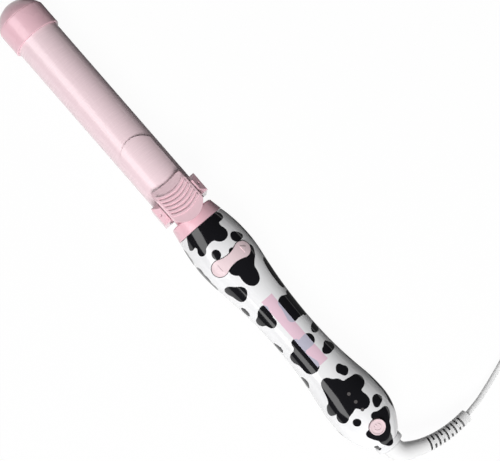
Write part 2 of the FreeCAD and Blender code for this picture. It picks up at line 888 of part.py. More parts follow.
def make_swivel():
    flange_end = swivel_flange_station + size.swivel_flange
    hub_end = size.handle_length + size.spigot_length
    socket_bore = size.swivel_journal_radius + size.running_gap
    socket_low = flange_end + size.running_gap
    turned_piece("swivel_socket", [
        (-socket_low, socket_bore),
        (-socket_low, size.swivel_bore - size.fit_gap + size.spigot_length / 2),
        (-end_bulkhead_station, size.swivel_bore - size.fit_gap + size.spigot_length / 2),
        (-end_bulkhead_station, size.swivel_bore - size.fit_gap),
        (-hub_end, size.swivel_bore - size.fit_gap),
        (-hub_end, socket_bore),
    ])
    turned_piece("swivel_hub", [
        (-swivel_flange_station, size.hub_bore),
        (-swivel_flange_station, size.swivel_flange_radius),
        (-flange_end, size.swivel_flange_radius),
        (-flange_end, size.swivel_journal_radius),
        (-hub_end - size.running_gap, size.swivel_journal_radius),
        (-hub_end - size.running_gap, size.hub_spigot_radius),
        (-hub_end - size.hub_spigot_length, size.hub_spigot_radius),
        (-hub_end - size.hub_spigot_length, size.hub_bore),
    ])


def make_bearings():
    bore = size.spindle_radius + size.running_gap
    bush_radius = size.front_bush_radius - size.fit_gap
    flange_back = size.front_bulkhead + size.front_bush_flange
    turned_piece("front_bush", [
        (0, bore),
        (0, bush_radius),
        (-size.front_bulkhead, bush_radius),
        (-size.front_bulkhead, size.front_bush_flange_radius),
        (-flange_back, size.front_bush_flange_radius),
        (-flange_back, bore),
    ])
    back = size.rear_bulkhead_station + size.rear_bulkhead
    turned_piece("rear_bush", ring_points(
        -back, -size.rear_bulkhead_station, bore, size.rear_bush_radius - size.fit_gap))


def make_spindle():
    groove = size.rear_bulkhead_station + size.rear_bulkhead + size.running_gap
    groove_end = groove + size.clip_ring_thickness
    waist = size.spindle_radius - size.clip_groove_depth
    turned_piece("spindle", [
        (size.spindle_front, size.spindle_bore),
        (size.spindle_front, size.spindle_radius),
        (-groove, size.spindle_radius),
        (-groove, waist),
        (-groove_end, waist),
        (-groove_end, size.spindle_radius),
        (-size.spindle_back_station, size.spindle_radius),
        (-size.spindle_back_station, size.spindle_bore),
    ])
    body = new_body("spindle_clip")
    profile = outline(new_sketch(body, "XZ"), ring_points(
        -groove_end, -groove, waist + size.fit_gap, size.clip_ring_radius))
    revolve(body, profile, angle=size.clip_ring_angle)
    finish(body)


def toothed_wheel(label, teeth, bore, phase_share):
    """A spur wheel about an axis along X, with straight-sided teeth in a polar pattern."""
    body = new_body(label)
    pitch_radius = size.gear_module * teeth / 2
    foot = pitch_radius - size.gear_dedendum
    tip = pitch_radius + size.gear_addendum
    sunk = foot - size.gear_dedendum / 2
    low_x = -(size.gear_station + size.gear_width)
    profile = ring_points(low_x, -size.gear_station, bore, foot)
    if bore == 0:
        profile = [(low_x, 0), (low_x, foot), (-size.gear_station, foot), (-size.gear_station, 0)]
    revolve(body, outline(new_sketch(body, "XZ"), profile))
    tooth = new_sketch(body, "YZ", low_x)
    root_half = size.tooth_root_width / 2
    tip_half = size.tooth_tip_width / 2
    outline(tooth, [(-root_half, sunk), (root_half, sunk), (root_half, foot),
                    (tip_half, tip), (-tip_half, tip), (-root_half, foot)])
    pad = extrude(body, tooth, "Pad", size.gear_width)
    pattern = body.newObject("PartDesign::PolarPattern", f"{label}_teeth")
    pattern.Originals = [pad]
    axis = [feature for feature in body.Origin.OriginFeatures if feature.Role == "X_Axis"]
    pattern.Axis = (axis[0], [""])
    pattern.Angle = 360
    bind(pattern, "Occurrences", teeth)
    body.Tip = pattern
    body.Placement = FreeCAD.Placement(V(), FreeCAD.Rotation(V(1, 0, 0), 1))
    bind(body, "Placement.Rotation.Angle", 360 * phase_share / teeth)
    return body


def make_gears():
    # A gap of the gear faces a tooth of the pinion.
    half_tooth_share = as_size(1) / 2
    gear_bore = size.spindle_radius + size.fit_gap
    finish(toothed_wheel("spindle_gear", size.gear_teeth, gear_bore, half_tooth_share))
    wheel = toothed_wheel("pinion_wheel", size.pinion_teeth, 0, as_size(0))
    bind(wheel, "Placement.Base.z", -motor_axis_depth)
    shaft_end = size.gearbox_station + size.gearbox_length / 2
    shaft = rod("pinion_shaft", "X", (-shaft_end, 0, -motor_axis_depth), size.pinion_shaft_radius,
                shaft_end - size.gear_station)
    finish(fuse("motor_pinion", [wheel, shaft]))


def make_motor():
    half_width = size.motor_width / 2
    half_height = size.motor_height / 2
    gearbox_back = size.gearbox_station + size.gearbox_length
    case = box("gearbox_block", -gearbox_back, -size.gearbox_station, -half_width, half_width,
               -motor_axis_depth - half_height, -motor_axis_depth + half_height)
    bore = rod("gearbox_bore", "X", (-size.gearbox_station - size.gearbox_length / 2 - size.running_gap, 0,
                                     -motor_axis_depth),
               size.pinion_shaft_radius + size.running_gap,
               size.gearbox_length / 2 + size.running_gap + size.overrun)
    finish(cut("gearbox_case", case, bore))
    motor_back = gearbox_back + size.motor_length
    can = rod("motor_round", "X", (-motor_back, 0, -motor_axis_depth), half_width, size.motor_length)
    flats = box("motor_flats", -motor_back, -gearbox_back, -half_width, half_width,
                -motor_axis_depth - half_height, -motor_axis_depth + half_height)
    finish(common("motor_can", can, flats))


def slip_ring_stations():
    return [size.slip_ring_first + size.slip_ring_pitch * place for place in range(3)]


def make_slip_rings():
    drum_back = size.drum_station + size.drum_length
    turned_piece("slip_drum", ring_points(
        -drum_back, -size.drum_station, size.spindle_radius + size.fit_gap, size.drum_radius))
    rings, brushes = [], []
    holder_top = size.switch_board_bottom
    holder_low = holder_top - size.brush_holder_height
    for place, station in enumerate(slip_ring_stations()):
        body = new_body(f"slip_ring_{place}")
        profile = ring_points(-station - size.slip_ring_width, -station,
                              size.drum_radius + size.fit_gap, size.slip_ring_radius)
        revolve(body, outline(new_sketch(body, "XZ"), profile))
        rings.append(body)
        middle = station + size.slip_ring_width / 2
        brushes.append(box(f"brush_{place}", -middle - size.brush_width / 2, -middle + size.brush_width / 2,
                           -size.brush_width / 2, size.brush_width / 2,
                           size.slip_ring_radius + size.running_gap, holder_low))
    finish(group("slip_rings", rings))
    finish(group("brushes", brushes))
    half_width = size.brush_holder_width / 2
    block("brush_holder", -drum_back, -size.drum_station - size.slip_ring_width / 2, -half_width,
          half_width, holder_low, holder_top)


def make_switch_board():
    board_end = size.rear_bulkhead_station - size.fit_gap
    half_width = size.switch_board_width / 2
    block("switch_board", -board_end, -size.switch_board_station, -half_width, half_width,
          size.switch_board_bottom, switch_board_top)
    switches = []
    for side in (-1, 1):
        middle = side * size.rocker_lobe_offset
        switches.append(tact_switch(f"rotation_switch_{side + 1}", -size.rocker_station, middle,
                                    switch_board_top, size.switch_body_height, size.switch_stem_height))
    finish(group("rotation_switches", switches))


def tact_switch(label, x, y, floor, body_height, stem_height):
    """A small push switch: a square body with a round stem."""
    half = size.switch_side / 2
    case = box(f"{label}_case", x - half, x + half, y - half, y + half, floor, floor + body_height)
    stem = rod(f"{label}_stem", "Z", (x, y, floor), size.switch_stem_radius, body_height + stem_height)
    return fuse(label, [case, stem])


def make_rocker():
    """The two-lobed rotate key: the handle's own surface raised a little, trimmed to the bone outline."""
    blank = new_body("rocker_blank")
    low = size.rocker_station - size.rocker_lobe_radius - size.overrun
    high = size.rocker_station + size.rocker_lobe_radius + size.overrun
    sunk = size.rocker_thickness - size.rocker_proud
    outer_arc = size.front_arc_radius + size.rocker_proud
    inner_arc = size.front_arc_radius - sunk
    revolve(blank, outline(new_sketch(blank, "XY"), [
        (-low, front_radius(low, sunk)),
        (-low, front_radius(low, -size.rocker_proud), outer_arc, OUT),
        (-high, front_radius(high, -size.rocker_proud)),
        (-high, front_radius(high, sunk), inner_arc, OUT),
    ]), angle=180)
    bone = new_body("rocker_outline")
    extrude(bone, outline(new_sketch(bone, "XY"), bone_points(0)), "Pad", 2 * size.front_bulge_radius)
    cap = common("rocker_cap", blank, bone)
    half_length = size.rocker_lug_length / 2
    half_width = size.rocker_lug_width / 2
    lug_top = front_radius(size.rocker_station) - size.shell_wall / 2
    lug = box("rocker_lug", -size.rocker_station - half_length, -size.rocker_station + half_length,
              -half_width, half_width, size.rocker_pivot_height - size.rocker_lug_below, lug_top)
    pieces = [cap, lug]
    for side in (-1, 1):
        plunger_low = switch_top + size.rocker_plunger_gap
        offset = size.rocker_lobe_offset
        plunger_high = root(square(front_radius(size.rocker_station)) - square(offset))
        pieces.append(rod(f"rocker_plunger_{side + 1}", "Z",
                          (-size.rocker_station, side * offset, plunger_low),
                          size.rocker_plunger_radius, plunger_high - plunger_low))
        arrow = new_body(f"rocker_arrow_{side + 1}")
        base_y = side * offset
        point_y = side * (offset + size.arrow_length)
        mark = outline(new_sketch(arrow, "XY"), [
            (-size.rocker_station - size.arrow_width / 2, base_y),
            (-size.rocker_station + size.arrow_width / 2, base_y),
            (-size.rocker_station, point_y)])
        extrude(arrow, mark, "Pad", 2 * size.front_bulge_radius)
        skin = new_body(f"rocker_arrow_skin_{side + 1}")
        raised = size.rocker_proud + size.arrow_height
        revolve(skin, outline(new_sketch(skin, "XY"), [
            (-low, front_radius(low)),
            (-low, front_radius(low, -raised), size.front_arc_radius + raised, OUT),
            (-high, front_radius(high, -raised)),
            (-high, front_radius(high), size.front_arc_radius, OUT),
        ]), angle=180)
        pieces.append(common(f"rocker_mark_{side + 1}", skin, arrow))
    eye = rod("rocker_eye", "X", (-size.rocker_station - size.rocker_lug_length, 0, size.rocker_pivot_height),
              size.rocker_pin_radius + size.running_gap, 2 * size.rocker_lug_length)
    finish(cut("rotation_rocker", fuse("rocker_solid", pieces), eye))
    pin_low = pin_post_near - size.pin_post_length
    pin_high = pin_post_far + size.pin_post_length
    finish(rod_from("rocker_pin", -pin_high, pin_high - pin_low, size.rocker_pivot_height,
                    size.rocker_pin_radius))


def rod_from(label, x, length, height, radius):
    """A plain pin along X, kept as a piece of its own."""
    pin = new_body(label)
    sketch = circle(new_sketch(pin, "YZ", x), 0, height, radius)
    extrude(pin, sketch, "Pad", length)
    return pin


def make_control_board():
    half_width = size.control_board_width / 2
    block("control_board", -control_board_end, -control_board_station, -half_width, half_width,
          size.control_board_bottom, control_board_top)
    leds, lenses = [], []
    half = size.led_side / 2
    for place in range(3):
        station = led_station + size.led_pitch * place
        lamp_top = control_board_top + size.led_height
        leds.append(box(f"led_{place}", -station - half, -station + half, -half, half,
                        control_board_top, lamp_top))
        surface = rear_radius(station) if place < 2 else end_radius(station)
        lenses.append(rod(f"lens_{place}", "Z", (-station, 0, lamp_top + size.fit_gap), size.lens_radius,
                          surface + size.lens_proud - lamp_top - size.fit_gap))
    finish(group("indicator_leds", leds))
    finish(group("led_lenses", lenses))
    chip_x = -control_board_station - size.chip_length
    board_low = size.control_board_bottom
    chip = box("board_chip", chip_x - size.chip_length / 2, chip_x + size.chip_length / 2,
               -size.chip_width / 2, size.chip_width / 2, board_low - size.chip_height, board_low)
    capacitors = [
        rod(f"board_capacitor_{side + 1}", "Z",
            (chip_x - size.chip_length - size.capacitor_radius, side * size.capacitor_offset,
             board_low - size.capacitor_height), size.capacitor_radius, size.capacitor_height)
        for side in (-1, 1)]
    finish(group("board_parts", [chip] + capacitors))
    switch_lift = (power_surface - control_board_top) * sine(size.power_tilt)
    finish(tact_switch("power_switch", -power_station + switch_lift, as_size(0), control_board_top,
                       size.power_switch_height, size.power_switch_stem))


def make_power_button():
    """A round key with a raised rim and a shallow dish, on an axis that leans towards the cord."""
    body = new_body("power_button")
    lower = -size.power_flange_top - size.power_flange
    flange = circle(power_frame(new_sketch(body, "XY"), lower), 0, 0, size.power_flange_radius)
    extrude(body, flange, "Pad", size.power_flange)
    shaft = circle(power_frame(new_sketch(body, "XY"), -size.power_flange_top), 0, 0, size.power_radius)
    extrude(body, shaft, "Pad", size.power_flange_top + size.power_top)
    dish = power_frame(new_sketch(body, "XY"), size.power_top)
    circle(dish, 0, 0, size.power_radius - size.power_rim)
    cut_checked(body, lambda: extrude(body, dish, "Pocket", size.power_dish))
    floor = size.power_top - size.power_dish
    inner = size.power_symbol_radius - size.power_symbol_line / 2
    outer = size.power_symbol_radius + size.power_symbol_line / 2
    half_gap = size.power_symbol_gap_angle / 2
    gap_sine, gap_cosine = sine(half_gap), cosine(half_gap)
    mark = power_frame(new_sketch(body, "XY"), floor)
    # The open ring: two arcs on each side of a middle point, open towards the tip.
    outline(mark, [
        (outer * gap_cosine, outer * gap_sine, outer, (-1, 1)),
        (-outer, 0, outer, (-1, -1)),
        (outer * gap_cosine, -outer * gap_sine),
        (inner * gap_cosine, -inner * gap_sine, inner, (-1, -1)),
        (-inner, 0, inner, (-1, 1)),
        (inner * gap_cosine, inner * gap_sine),
    ])
    extrude(body, mark, "Pad", size.power_symbol_height)
    stroke = power_frame(new_sketch(body, "XY"), floor)
    rectangle(stroke, size.power_symbol_line, outer, -size.power_symbol_line / 2, size.power_symbol_line / 2)
    extrude(body, stroke, "Pad", size.power_symbol_height)
    return finish(body)


def make_barrel():
    inner = size.barrel_radius - size.barrel_wall
    turned_piece("barrel_tube", ring_points(size.barrel_back, size.barrel_front, inner, size.barrel_radius))
    lip_radius = size.barrel_radius + size.fit_gap
    cap_back = size.barrel_front - size.cap_lap
    shoulder = cap_radius - size.cap_shoulder_drop
    crease_low = cap_crease - size.cap_crease_width
    crease_high = cap_crease + size.cap_crease_width
    dome_rise = size.cap_dome_rise
    dome_radius = (square(dome_rise) + square(shoulder)) / (2 * dome_rise)
    bore = cap_radius - size.cap_wall
    inner_apex = cap_apex - size.cap_wall
    inner_rise = inner_apex - cap_crease
    inner_dome = (square(inner_rise) + square(bore)) / (2 * inner_rise)
    turned_piece("tip_cap", [
        (cap_back, lip_radius),
        (cap_back, cap_radius - size.cap_edge),
        (cap_back + size.cap_edge, cap_radius),
        (crease_low, cap_radius, size.cap_crease_width, (1, 1)),
        (cap_crease, cap_radius - size.cap_crease_width),
        (cap_crease, shoulder - size.cap_crease_depth),
        (crease_high, shoulder, dome_radius, (1, 1)),
        (cap_apex, 0),
        (inner_apex, 0, inner_dome, (1, 1)),
        (cap_crease, bore),
        (size.barrel_front, bore),
        (size.barrel_front, lip_radius),
    ])
    spigot_end = cap_crease - size.cap_lap
    turned_piece("tip_insulator", [
        (size.barrel_front - size.insulator_depth, insulator_bore),
        (size.barrel_front - size.insulator_depth, inner - size.fit_gap),
        (size.barrel_front, inner - size.fit_gap),
        (size.barrel_front, bore - size.fit_gap),
        (spigot_end, bore - size.fit_gap),
        (spigot_end, 0),
        (spigot_end - size.cap_wall, 0),
        (spigot_end - size.cap_wall, insulator_bore),
    ])


def make_heater():
    spreader_radius = size.barrel_radius - size.barrel_wall - size.fit_gap
    half_gap = size.heater_thickness / 2
    wall = size.spreader_wall
    flat = half_gap + size.fit_gap
    inner_flat = flat + wall
    inner_radius = spreader_radius - wall
    for label, side in (("heat_spreader_upper", 1), ("heat_spreader_lower", -1)):
        body = new_body(label)
        section = new_sketch(body, "YZ", size.spreader_back)
        for radius, low in ((spreader_radius, flat), (inner_radius, inner_flat)):
            reach = root(square(radius) - square(low))
            outline(section, [
                (-reach, side * low),
                (reach, side * low, radius, (1, side)),
                (0, side * radius, radius, (-1, side)),
            ])
        extrude(body, section, "Pad", spreader_length)
        finish(body)
    heater_back = size.spreader_back + (spreader_length - heater_length) / 2
    block("ptc_heater", heater_back, heater_back + heater_length, -size.heater_width / 2,
          size.heater_width / 2, -half_gap, half_gap)
    sensor_height = inner_flat + size.fit_gap + size.sensor_radius
    sensor_x = size.spreader_back + spreader_length / 2
    sensor = new_body("temperature_sensor")
    extrude(sensor, circle(new_sketch(sensor, "YZ", sensor_x), 0, -sensor_height, size.sensor_radius),
            "Pad", size.sensor_length)
    finish(sensor)


def make_base():
    bore = size.spindle_radius + size.fit_gap
    body_radius = size.barrel_radius - size.barrel_wall - size.fit_gap
    neck_back = size.running_gap * 2
    wall_x = size.saddle_back + size.saddle_floor
    plug = turned_piece("base_plug", [
        (neck_back, bore),
        (neck_back, neck_radius),
        (wall_x, neck_radius),
        (wall_x, body_radius),
        (size.plug_length, body_radius),
        (size.plug_length, plug_bore),
        (wall_x + size.plug_floor, plug_bore),
        (wall_x + size.plug_floor, bore),
    ])
    collar_bore = neck_radius + size.fit_gap
    web = size.collar_front - size.collar_wall
    turned_piece("collar", [
        (size.collar_back, collar_back_radius - size.collar_wall),
        (size.collar_back, collar_back_radius),
        (size.collar_front - size.collar_edge, collar_front_radius),
        (size.collar_front, collar_front_radius - size.collar_edge),
        (size.collar_front, collar_bore),
        (web, collar_bore),
        (web, collar_front_radius - size.collar_wall),
    ])
    return plug


def make_saddle(plug):
    body = new_body("hinge_saddle")
    bore = neck_radius + size.fit_gap
    revolve(body, outline(new_sketch(body, "XZ"), ring_points(
        size.saddle_back, size.saddle_front, bore, saddle_radius)))
    heel = -axis_height
    low_slope = cheek_top - size.cheek_slope
    for side in (-1, 1):
        offset = cheek_outer if side < 0 else -cheek_inner
        cheek = new_sketch(body, "XZ", offset)
        outline(cheek, [
            (size.saddle_back, heel), (size.saddle_front, heel),
            (size.saddle_front, low_slope), (size.saddle_front - size.cheek_chamfer, cheek_top),
            (size.saddle_back + size.cheek_chamfer, cheek_top), (size.saddle_back, low_slope)])
        extrude(body, cheek, "Pad", cheek_outer - cheek_inner, reverse=True)
        slope = new_sketch(body, "YZ", size.saddle_back)
        land = cheek_inner + size.cheek_land
        outline(slope, [
            (side * land, cheek_top), (side * cheek_outer, cheek_top - size.cheek_fall),
            (side * cheek_outer, cheek_top)])
        cut_checked(body, lambda: extrude(
            body, slope, "Pocket", size.saddle_front - size.saddle_back, reverse=True))
    foot = new_sketch(body, "XY", heel)
    rectangle(foot, size.saddle_back, size.saddle_front, -cheek_outer, cheek_outer)
    extrude(body, foot, "Pad", size.heel_height)
    seat = new_sketch(body, "YZ", size.saddle_back + size.saddle_floor)
    circle(seat, 0, 0, size.barrel_radius + size.fit_gap)
    cut_checked(body, lambda: extrude(body, seat, "Pocket", reverse=True))
    pin_hole = new_sketch(body, "XZ")
    circle(pin_hole, size.hinge_station, hinge_height, size.hinge_pin_radius + size.fit_gap)
    cut_checked(body, lambda: extrude(
        body, pin_hole, "Pocket", 2 * cheek_outer + size.overrun, symmetric=True))
    finish(body)
    screws = []
    screw_radius = (size.barrel_radius - size.barrel_wall + neck_radius) / 2
    for side in (-1, 1):
        hole = new_sketch(body, "YZ", size.saddle_back)
        circle(hole, side * screw_radius, 0, size.saddle_screw_radius + size.fit_gap)
        cut_checked(body, lambda: extrude(body, hole, "Pocket", size.saddle_floor, reverse=True))
        seat = new_sketch(plug, "YZ", size.saddle_back + size.saddle_floor)
        circle(seat, side * screw_radius, 0, size.saddle_screw_radius + size.fit_gap)
        cut_checked(plug, lambda: extrude(plug, seat, "Pocket", size.saddle_screw_reach, reverse=True))
        head = rod(f"saddle_screw_head_{side + 1}", "X",
                   (size.saddle_back - size.saddle_screw_head, side * screw_radius, 0),
                   size.saddle_screw_head_radius, size.saddle_screw_head)
        shank = rod(f"saddle_screw_shank_{side + 1}", "X", (size.saddle_back, side * screw_radius, 0),
                    size.saddle_screw_radius, size.saddle_floor + size.saddle_screw_reach - size.fit_gap)
        screws.append(fuse(f"saddle_screw_{side + 1}", [head, shank]))
    finish(group("saddle_screws", screws))
    pin = new_body("hinge_pin")
    section = circle(new_sketch(pin, "XZ"), size.hinge_station, hinge_height, size.hinge_pin_radius)
    extrude(pin, section, "Pad", 2 * (cheek_inner + size.hinge_pin_seat), symmetric=True)
    finish(pin)


# Clip: shared heights of the spoon and the lever that sits on it.
spoon_inner = size.barrel_radius + size.spoon_gap
spoon_outer = spoon_inner + size.spoon_thickness
spoon_back = size.saddle_front + size.spoon_back_gap
relief_angle = size.clip_opening + size.clip_spare_angle
rivet_x = (spoon_back + size.lever_front) / 2
rivet_hole = size.rivet_radius + size.fit_gap
rivet_top = spoon_outer + size.rivet_reach / 2
tail_rise_tangent = sine(relief_angle) / cosine(relief_angle)
knuckle_x = size.hinge_station - size.knuckle_radius * sine(relief_angle)
knuckle_z = hinge_height - size.knuckle_radius * cosine(relief_angle)
tail_low = knuckle_z + (knuckle_x - size.lever_tail) * tail_rise_tangent
tail_high = tail_low + size.lever_tail_thickness
top_slope = (tail_high - lever_ramp_height) / (size.lever_ramp_end - size.lever_tail)


def make_spoon():
    body = new_body("clip_spoon")
    section = ring_points(spoon_back, size.spoon_tip, spoon_inner, spoon_outer)
    profile = outline(new_sketch(body, "XZ"), section)
    revolve(body, profile, angle=2 * arc_sine(size.spoon_half_width / spoon_outer), symmetric=True)
    half = size.spoon_half_width + size.fit_gap
    round_centre = size.spoon_tip - size.spoon_tip_radius
    edge_x = round_centre + root(square(size.spoon_tip_radius) - square(half))
    beyond = size.spoon_tip + size.overrun
    corners = outline(new_sketch(body, "XY"), [
        (edge_x, half, size.spoon_tip_radius, TIPWARD), (edge_x, -half), (beyond, -half), (beyond, half)])
    cut_checked(body, lambda: extrude(body, corners, "Pocket", reverse=True))
    for side in (-1, 1):
        hole = circle(new_sketch(body, "XY"), rivet_x, side * size.rivet_offset, rivet_hole)
        cut_checked(body, lambda: extrude(body, hole, "Pocket", reverse=True))
    finish(body)


def make_lever():
    body = new_body("clip_lever")
    side_view = new_sketch(body, "XZ")
    bottom = hinge_height - size.knuckle_radius
    front_top = spoon_outer + size.lever_front_thickness
    outline(side_view, [
        (size.lever_front, lever_skirt_height),
        (size.lever_front, front_top),
        (size.lever_ramp_end, lever_ramp_height),
        (size.lever_tail, tail_high),
        (size.lever_tail, tail_low),
        (knuckle_x, knuckle_z, size.knuckle_radius, IN),
        (size.hinge_station, bottom),
        (spoon_back, bottom),
        (spoon_back, lever_skirt_height),
    ])
    extrude(body, side_view, "Pad", 2 * size.lever_half_width, symmetric=True)
    saddle = circle(new_sketch(body, "YZ", spoon_back - size.overrun), 0, 0, spoon_outer + size.fit_gap)
    cut_checked(body, lambda: extrude(body, saddle, "Pocket", reverse=True))
    half = size.lever_half_width + size.fit_gap
    tail_radius = (square(half) + square(size.lever_tail_round)) / (2 * size.lever_tail_round)
    shoulder_x = size.lever_tail + size.lever_tail_round
    beyond = size.lever_tail - size.overrun
    tail = outline(new_sketch(body, "XY"), [
        (shoulder_x, half, tail_radius, CORDWARD), (shoulder_x, -half), (beyond, -half), (beyond, half)])
    cut_checked(body, lambda: extrude(body, tail, "Pocket", reverse=True))
    hollow = size.lever_front_hollow
    front_radius_plan = (square(half) + square(hollow)) / (2 * hollow)
    ahead = size.lever_front + size.overrun
    corner = size.lever_front_corner
    inset = half - corner
    corner_x = size.lever_front - hollow + hollow * square(inset) / square(half)
    side_x = size.lever_front - corner
    front = outline(new_sketch(body, "XY"), [
        (side_x, half, corner, (1, 1)), (corner_x, inset, front_radius_plan, CORDWARD),
        (corner_x, -inset, corner, (1, -1)), (side_x, -half), (ahead, -half), (ahead, half)])
    cut_checked(body, lambda: extrude(body, front, "Pocket", reverse=True))
    round_lever(body)
    eye = new_sketch(body, "XZ")
    circle(eye, size.hinge_station, hinge_height, size.hinge_pin_radius + size.running_gap)
    cut_checked(body, lambda: extrude(
        body, eye, "Pocket", 2 * size.lever_half_width + size.overrun, symmetric=True))
    spring_half = spring_length() / 2 + spring_drift() + size.spring_room
    pocket = new_sketch(body, "XZ")
    reach = size.knuckle_radius + size.spring_room
    rectangle(pocket, size.hinge_station - reach - size.spring_leg, size.hinge_station + reach,
              bottom - size.overrun, hinge_height + size.knuckle_radius + size.spring_room / 2)
    cut_checked(body, lambda: extrude(body, pocket, "Pocket", 2 * spring_half, symmetric=True))
    for side in (-1, 1):
        hole = circle(new_sketch(body, "XY"), rivet_x, side * size.rivet_offset, rivet_hole)
        cut_checked(body, lambda: extrude(body, hole, "Pocket", rivet_top, reverse=True))
    add_ribs(body)
    finish(body)


def slope_angle(slope):
    return Size(math.degrees(math.atan(slope.value)), f"(atan({slope.text}) / 1 deg)")


def round_lever(body):
    """Round the lever's upper edges along both sides: over the hinge, and along the ramp in front of it."""
    front_top = spoon_outer + size.lever_front_thickness
    ramp_slope = (lever_ramp_height - front_top) / (size.lever_front - size.lever_ramp_end)
    half, edge, beyond = size.lever_half_width, size.lever_edge, size.lever_half_width + size.overrun
    length = 2 * (size.lever_front - size.lever_tail)
    for slope in (top_slope, ramp_slope):
        corner = new_sketch(body, "YZ")
        corner.AttachmentOffset = FreeCAD.Placement(V(), FreeCAD.Rotation(V(1, 0, 0), 1))
        bind(corner, "AttachmentOffset.Base.y", lever_ramp_height)
        bind(corner, "AttachmentOffset.Base.z", size.lever_ramp_end)
        bind(corner, "AttachmentOffset.Rotation.Angle", slope_angle(slope))
        for side in (-1, 1):
            outline(corner, [
                (side * (half - edge), 0, edge, (side, 1)), (side * half, -edge),
                (side * beyond, -edge), (side * beyond, size.overrun), (side * (half - edge), size.overrun)])
        cut_checked(body, lambda: extrude(body, corner, "Pocket", length, symmetric=True))


def add_ribs(body):
    """Curved thumb ribs that follow the lever's sloping top."""
    rib_x = size.rib_first
    rib_z = lever_ramp_height + (size.lever_ramp_end - rib_x) * top_slope
    rib = new_sketch(body, "XY")
    rib.AttachmentOffset = FreeCAD.Placement(V(), FreeCAD.Rotation(V(0, 1, 0), 1))
    sunk = size.rib_height / 2
    bind(rib, "AttachmentOffset.Base.x", rib_x)
    bind(rib, "AttachmentOffset.Base.z", rib_z - sunk)
    bind(rib, "AttachmentOffset.Rotation.Angle", slope_angle(top_slope))
    outer, inner = size.rib_radius, size.rib_radius - size.rib_width
    half = size.rib_half_length
    back = outer - root(square(outer) - square(half))
    inner_back = outer - root(square(inner) - square(half))
    outline(rib, [
        (back, half, outer, CORDWARD), (back, -half),
        (inner_back, -half, inner, CORDWARD), (inner_back, half)])
    pad = extrude(body, rib, "Pad", size.rib_height + sunk)
    pattern = body.newObject("PartDesign::LinearPattern", "lever_ribs")
    pattern.Originals = [pad]
    pattern.Direction = (rib, ["H_Axis"])
    pattern.Reversed = True
    bind(pattern, "Length", size.rib_pitch * (size.rib_count - 1))
    bind(pattern, "Occurrences", size.rib_count)
    body.Tip = pattern


def make_rivets():
    rivets = []
    for side in (-1, 1):
        offset = side * size.rivet_offset
        surface = root(square(spoon_inner) - square(size.rivet_offset))
        rivets.append(rod(f"rivet_{side + 1}", "Z", (rivet_x, offset, surface), size.rivet_radius,
                          rivet_top - surface))
    finish(group("lever_rivets", rivets))


def spring_length():
    return (size.spring_turns + as_size(0.5)) * (size.spring_wire + size.spring_gap) + size.spring_wire


def spring_mean():
    return size.knuckle_radius - size.spring_wire / 2 - size.running_gap * 2


def spring_drift():
    """How far a leg wanders sideways, because it leaves the winding along the helix."""
    climb = (spring_length() - size.spring_wire) / (math.pi * (2 * size.spring_turns + 1))
    return size.spring_leg * climb / root(square(spring_mean()) + square(climb))


def make_clip_spring():
    """A torsion spring round the hinge pin, with one leg on the saddle and one under the lever's tail."""
    wire = number(size.spring_wire)
    mean = number(spring_mean())
    length = number(spring_length() - size.spring_wire)
    leg = number(size.spring_leg)
    quarters = int(4 * number(size.spring_turns)) + 2

    def turn_point(quarter):
        """Place and heading on the winding, which starts under the pin and heads for the tip."""
        angle = quarter * math.pi / 2
        across = length * (quarter / quarters - 1 / 2)
        place = V(number(size.hinge_station) + mean * math.sin(angle), across,
                  number(hinge_height) - mean * math.cos(angle))
        climb = length / (quarters * math.pi / 2)
        return place, V(mean * math.cos(angle), climb, mean * math.sin(angle)).normalize()

    start, start_way = turn_point(0)
    end, end_way = turn_point(quarters)
    edges = [Part.LineSegment(start - start_way * leg, start).toShape()]
    for quarter in range(quarters):
        edges.extend(tangent_pair(*turn_point(quarter), *turn_point(quarter + 1)))
    edges.append(Part.LineSegment(end, end + end_way * leg).toShape())
    path = Part.Wire(edges)
    section = Part.Wire(Part.makeCircle(wire / 2, start - start_way * leg, start_way))
    spring = doc.addObject("Part::Feature", "clip_spring")
    spring.Shape = path.makePipeShell([section], True, False)
    expected = math.pi * wire ** 2 / 4 * path.Length
    print(f"clip_spring: length {path.Length:.1f}, volume share {spring.Shape.Volume / expected:.4f},"
          f" least gap {least_gap(path, wire):.2f}")
    finish(spring)


def boot_path():
    """Points, headings and radii along the boot, in its own plane: straight, elbow, then the long tail."""
    straight = number(size.boot_straight)
    elbow = number(size.boot_elbow_radius)
    turn = math.radians(number(size.boot_elbow_angle))
    tail = number(size.boot_tail_radius)
    start_x = -number(size.handle_length + size.spigot_length + size.running_gap)
    bend_x = start_x - straight - number(size.ring_length - size.spigot_length)
    bend_end = V(bend_x - elbow * math.sin(turn), -elbow * (1 - math.cos(turn)), 0)
    tail_centre = bend_end + V(math.sin(turn), -math.cos(turn), 0) * tail

    def elbow_point(share):
        angle = turn * share
        return (V(bend_x - elbow * math.sin(angle), -elbow * (1 - math.cos(angle)), 0),
                V(-math.cos(angle), -math.sin(angle), 0))

    def tail_point(distance):
        angle = turn + distance / tail
        return (tail_centre - V(math.sin(angle), -math.cos(angle), 0) * tail,
                V(-math.cos(angle), -math.sin(angle), 0))

    return V(start_x, 0, 0), elbow_point, tail_point


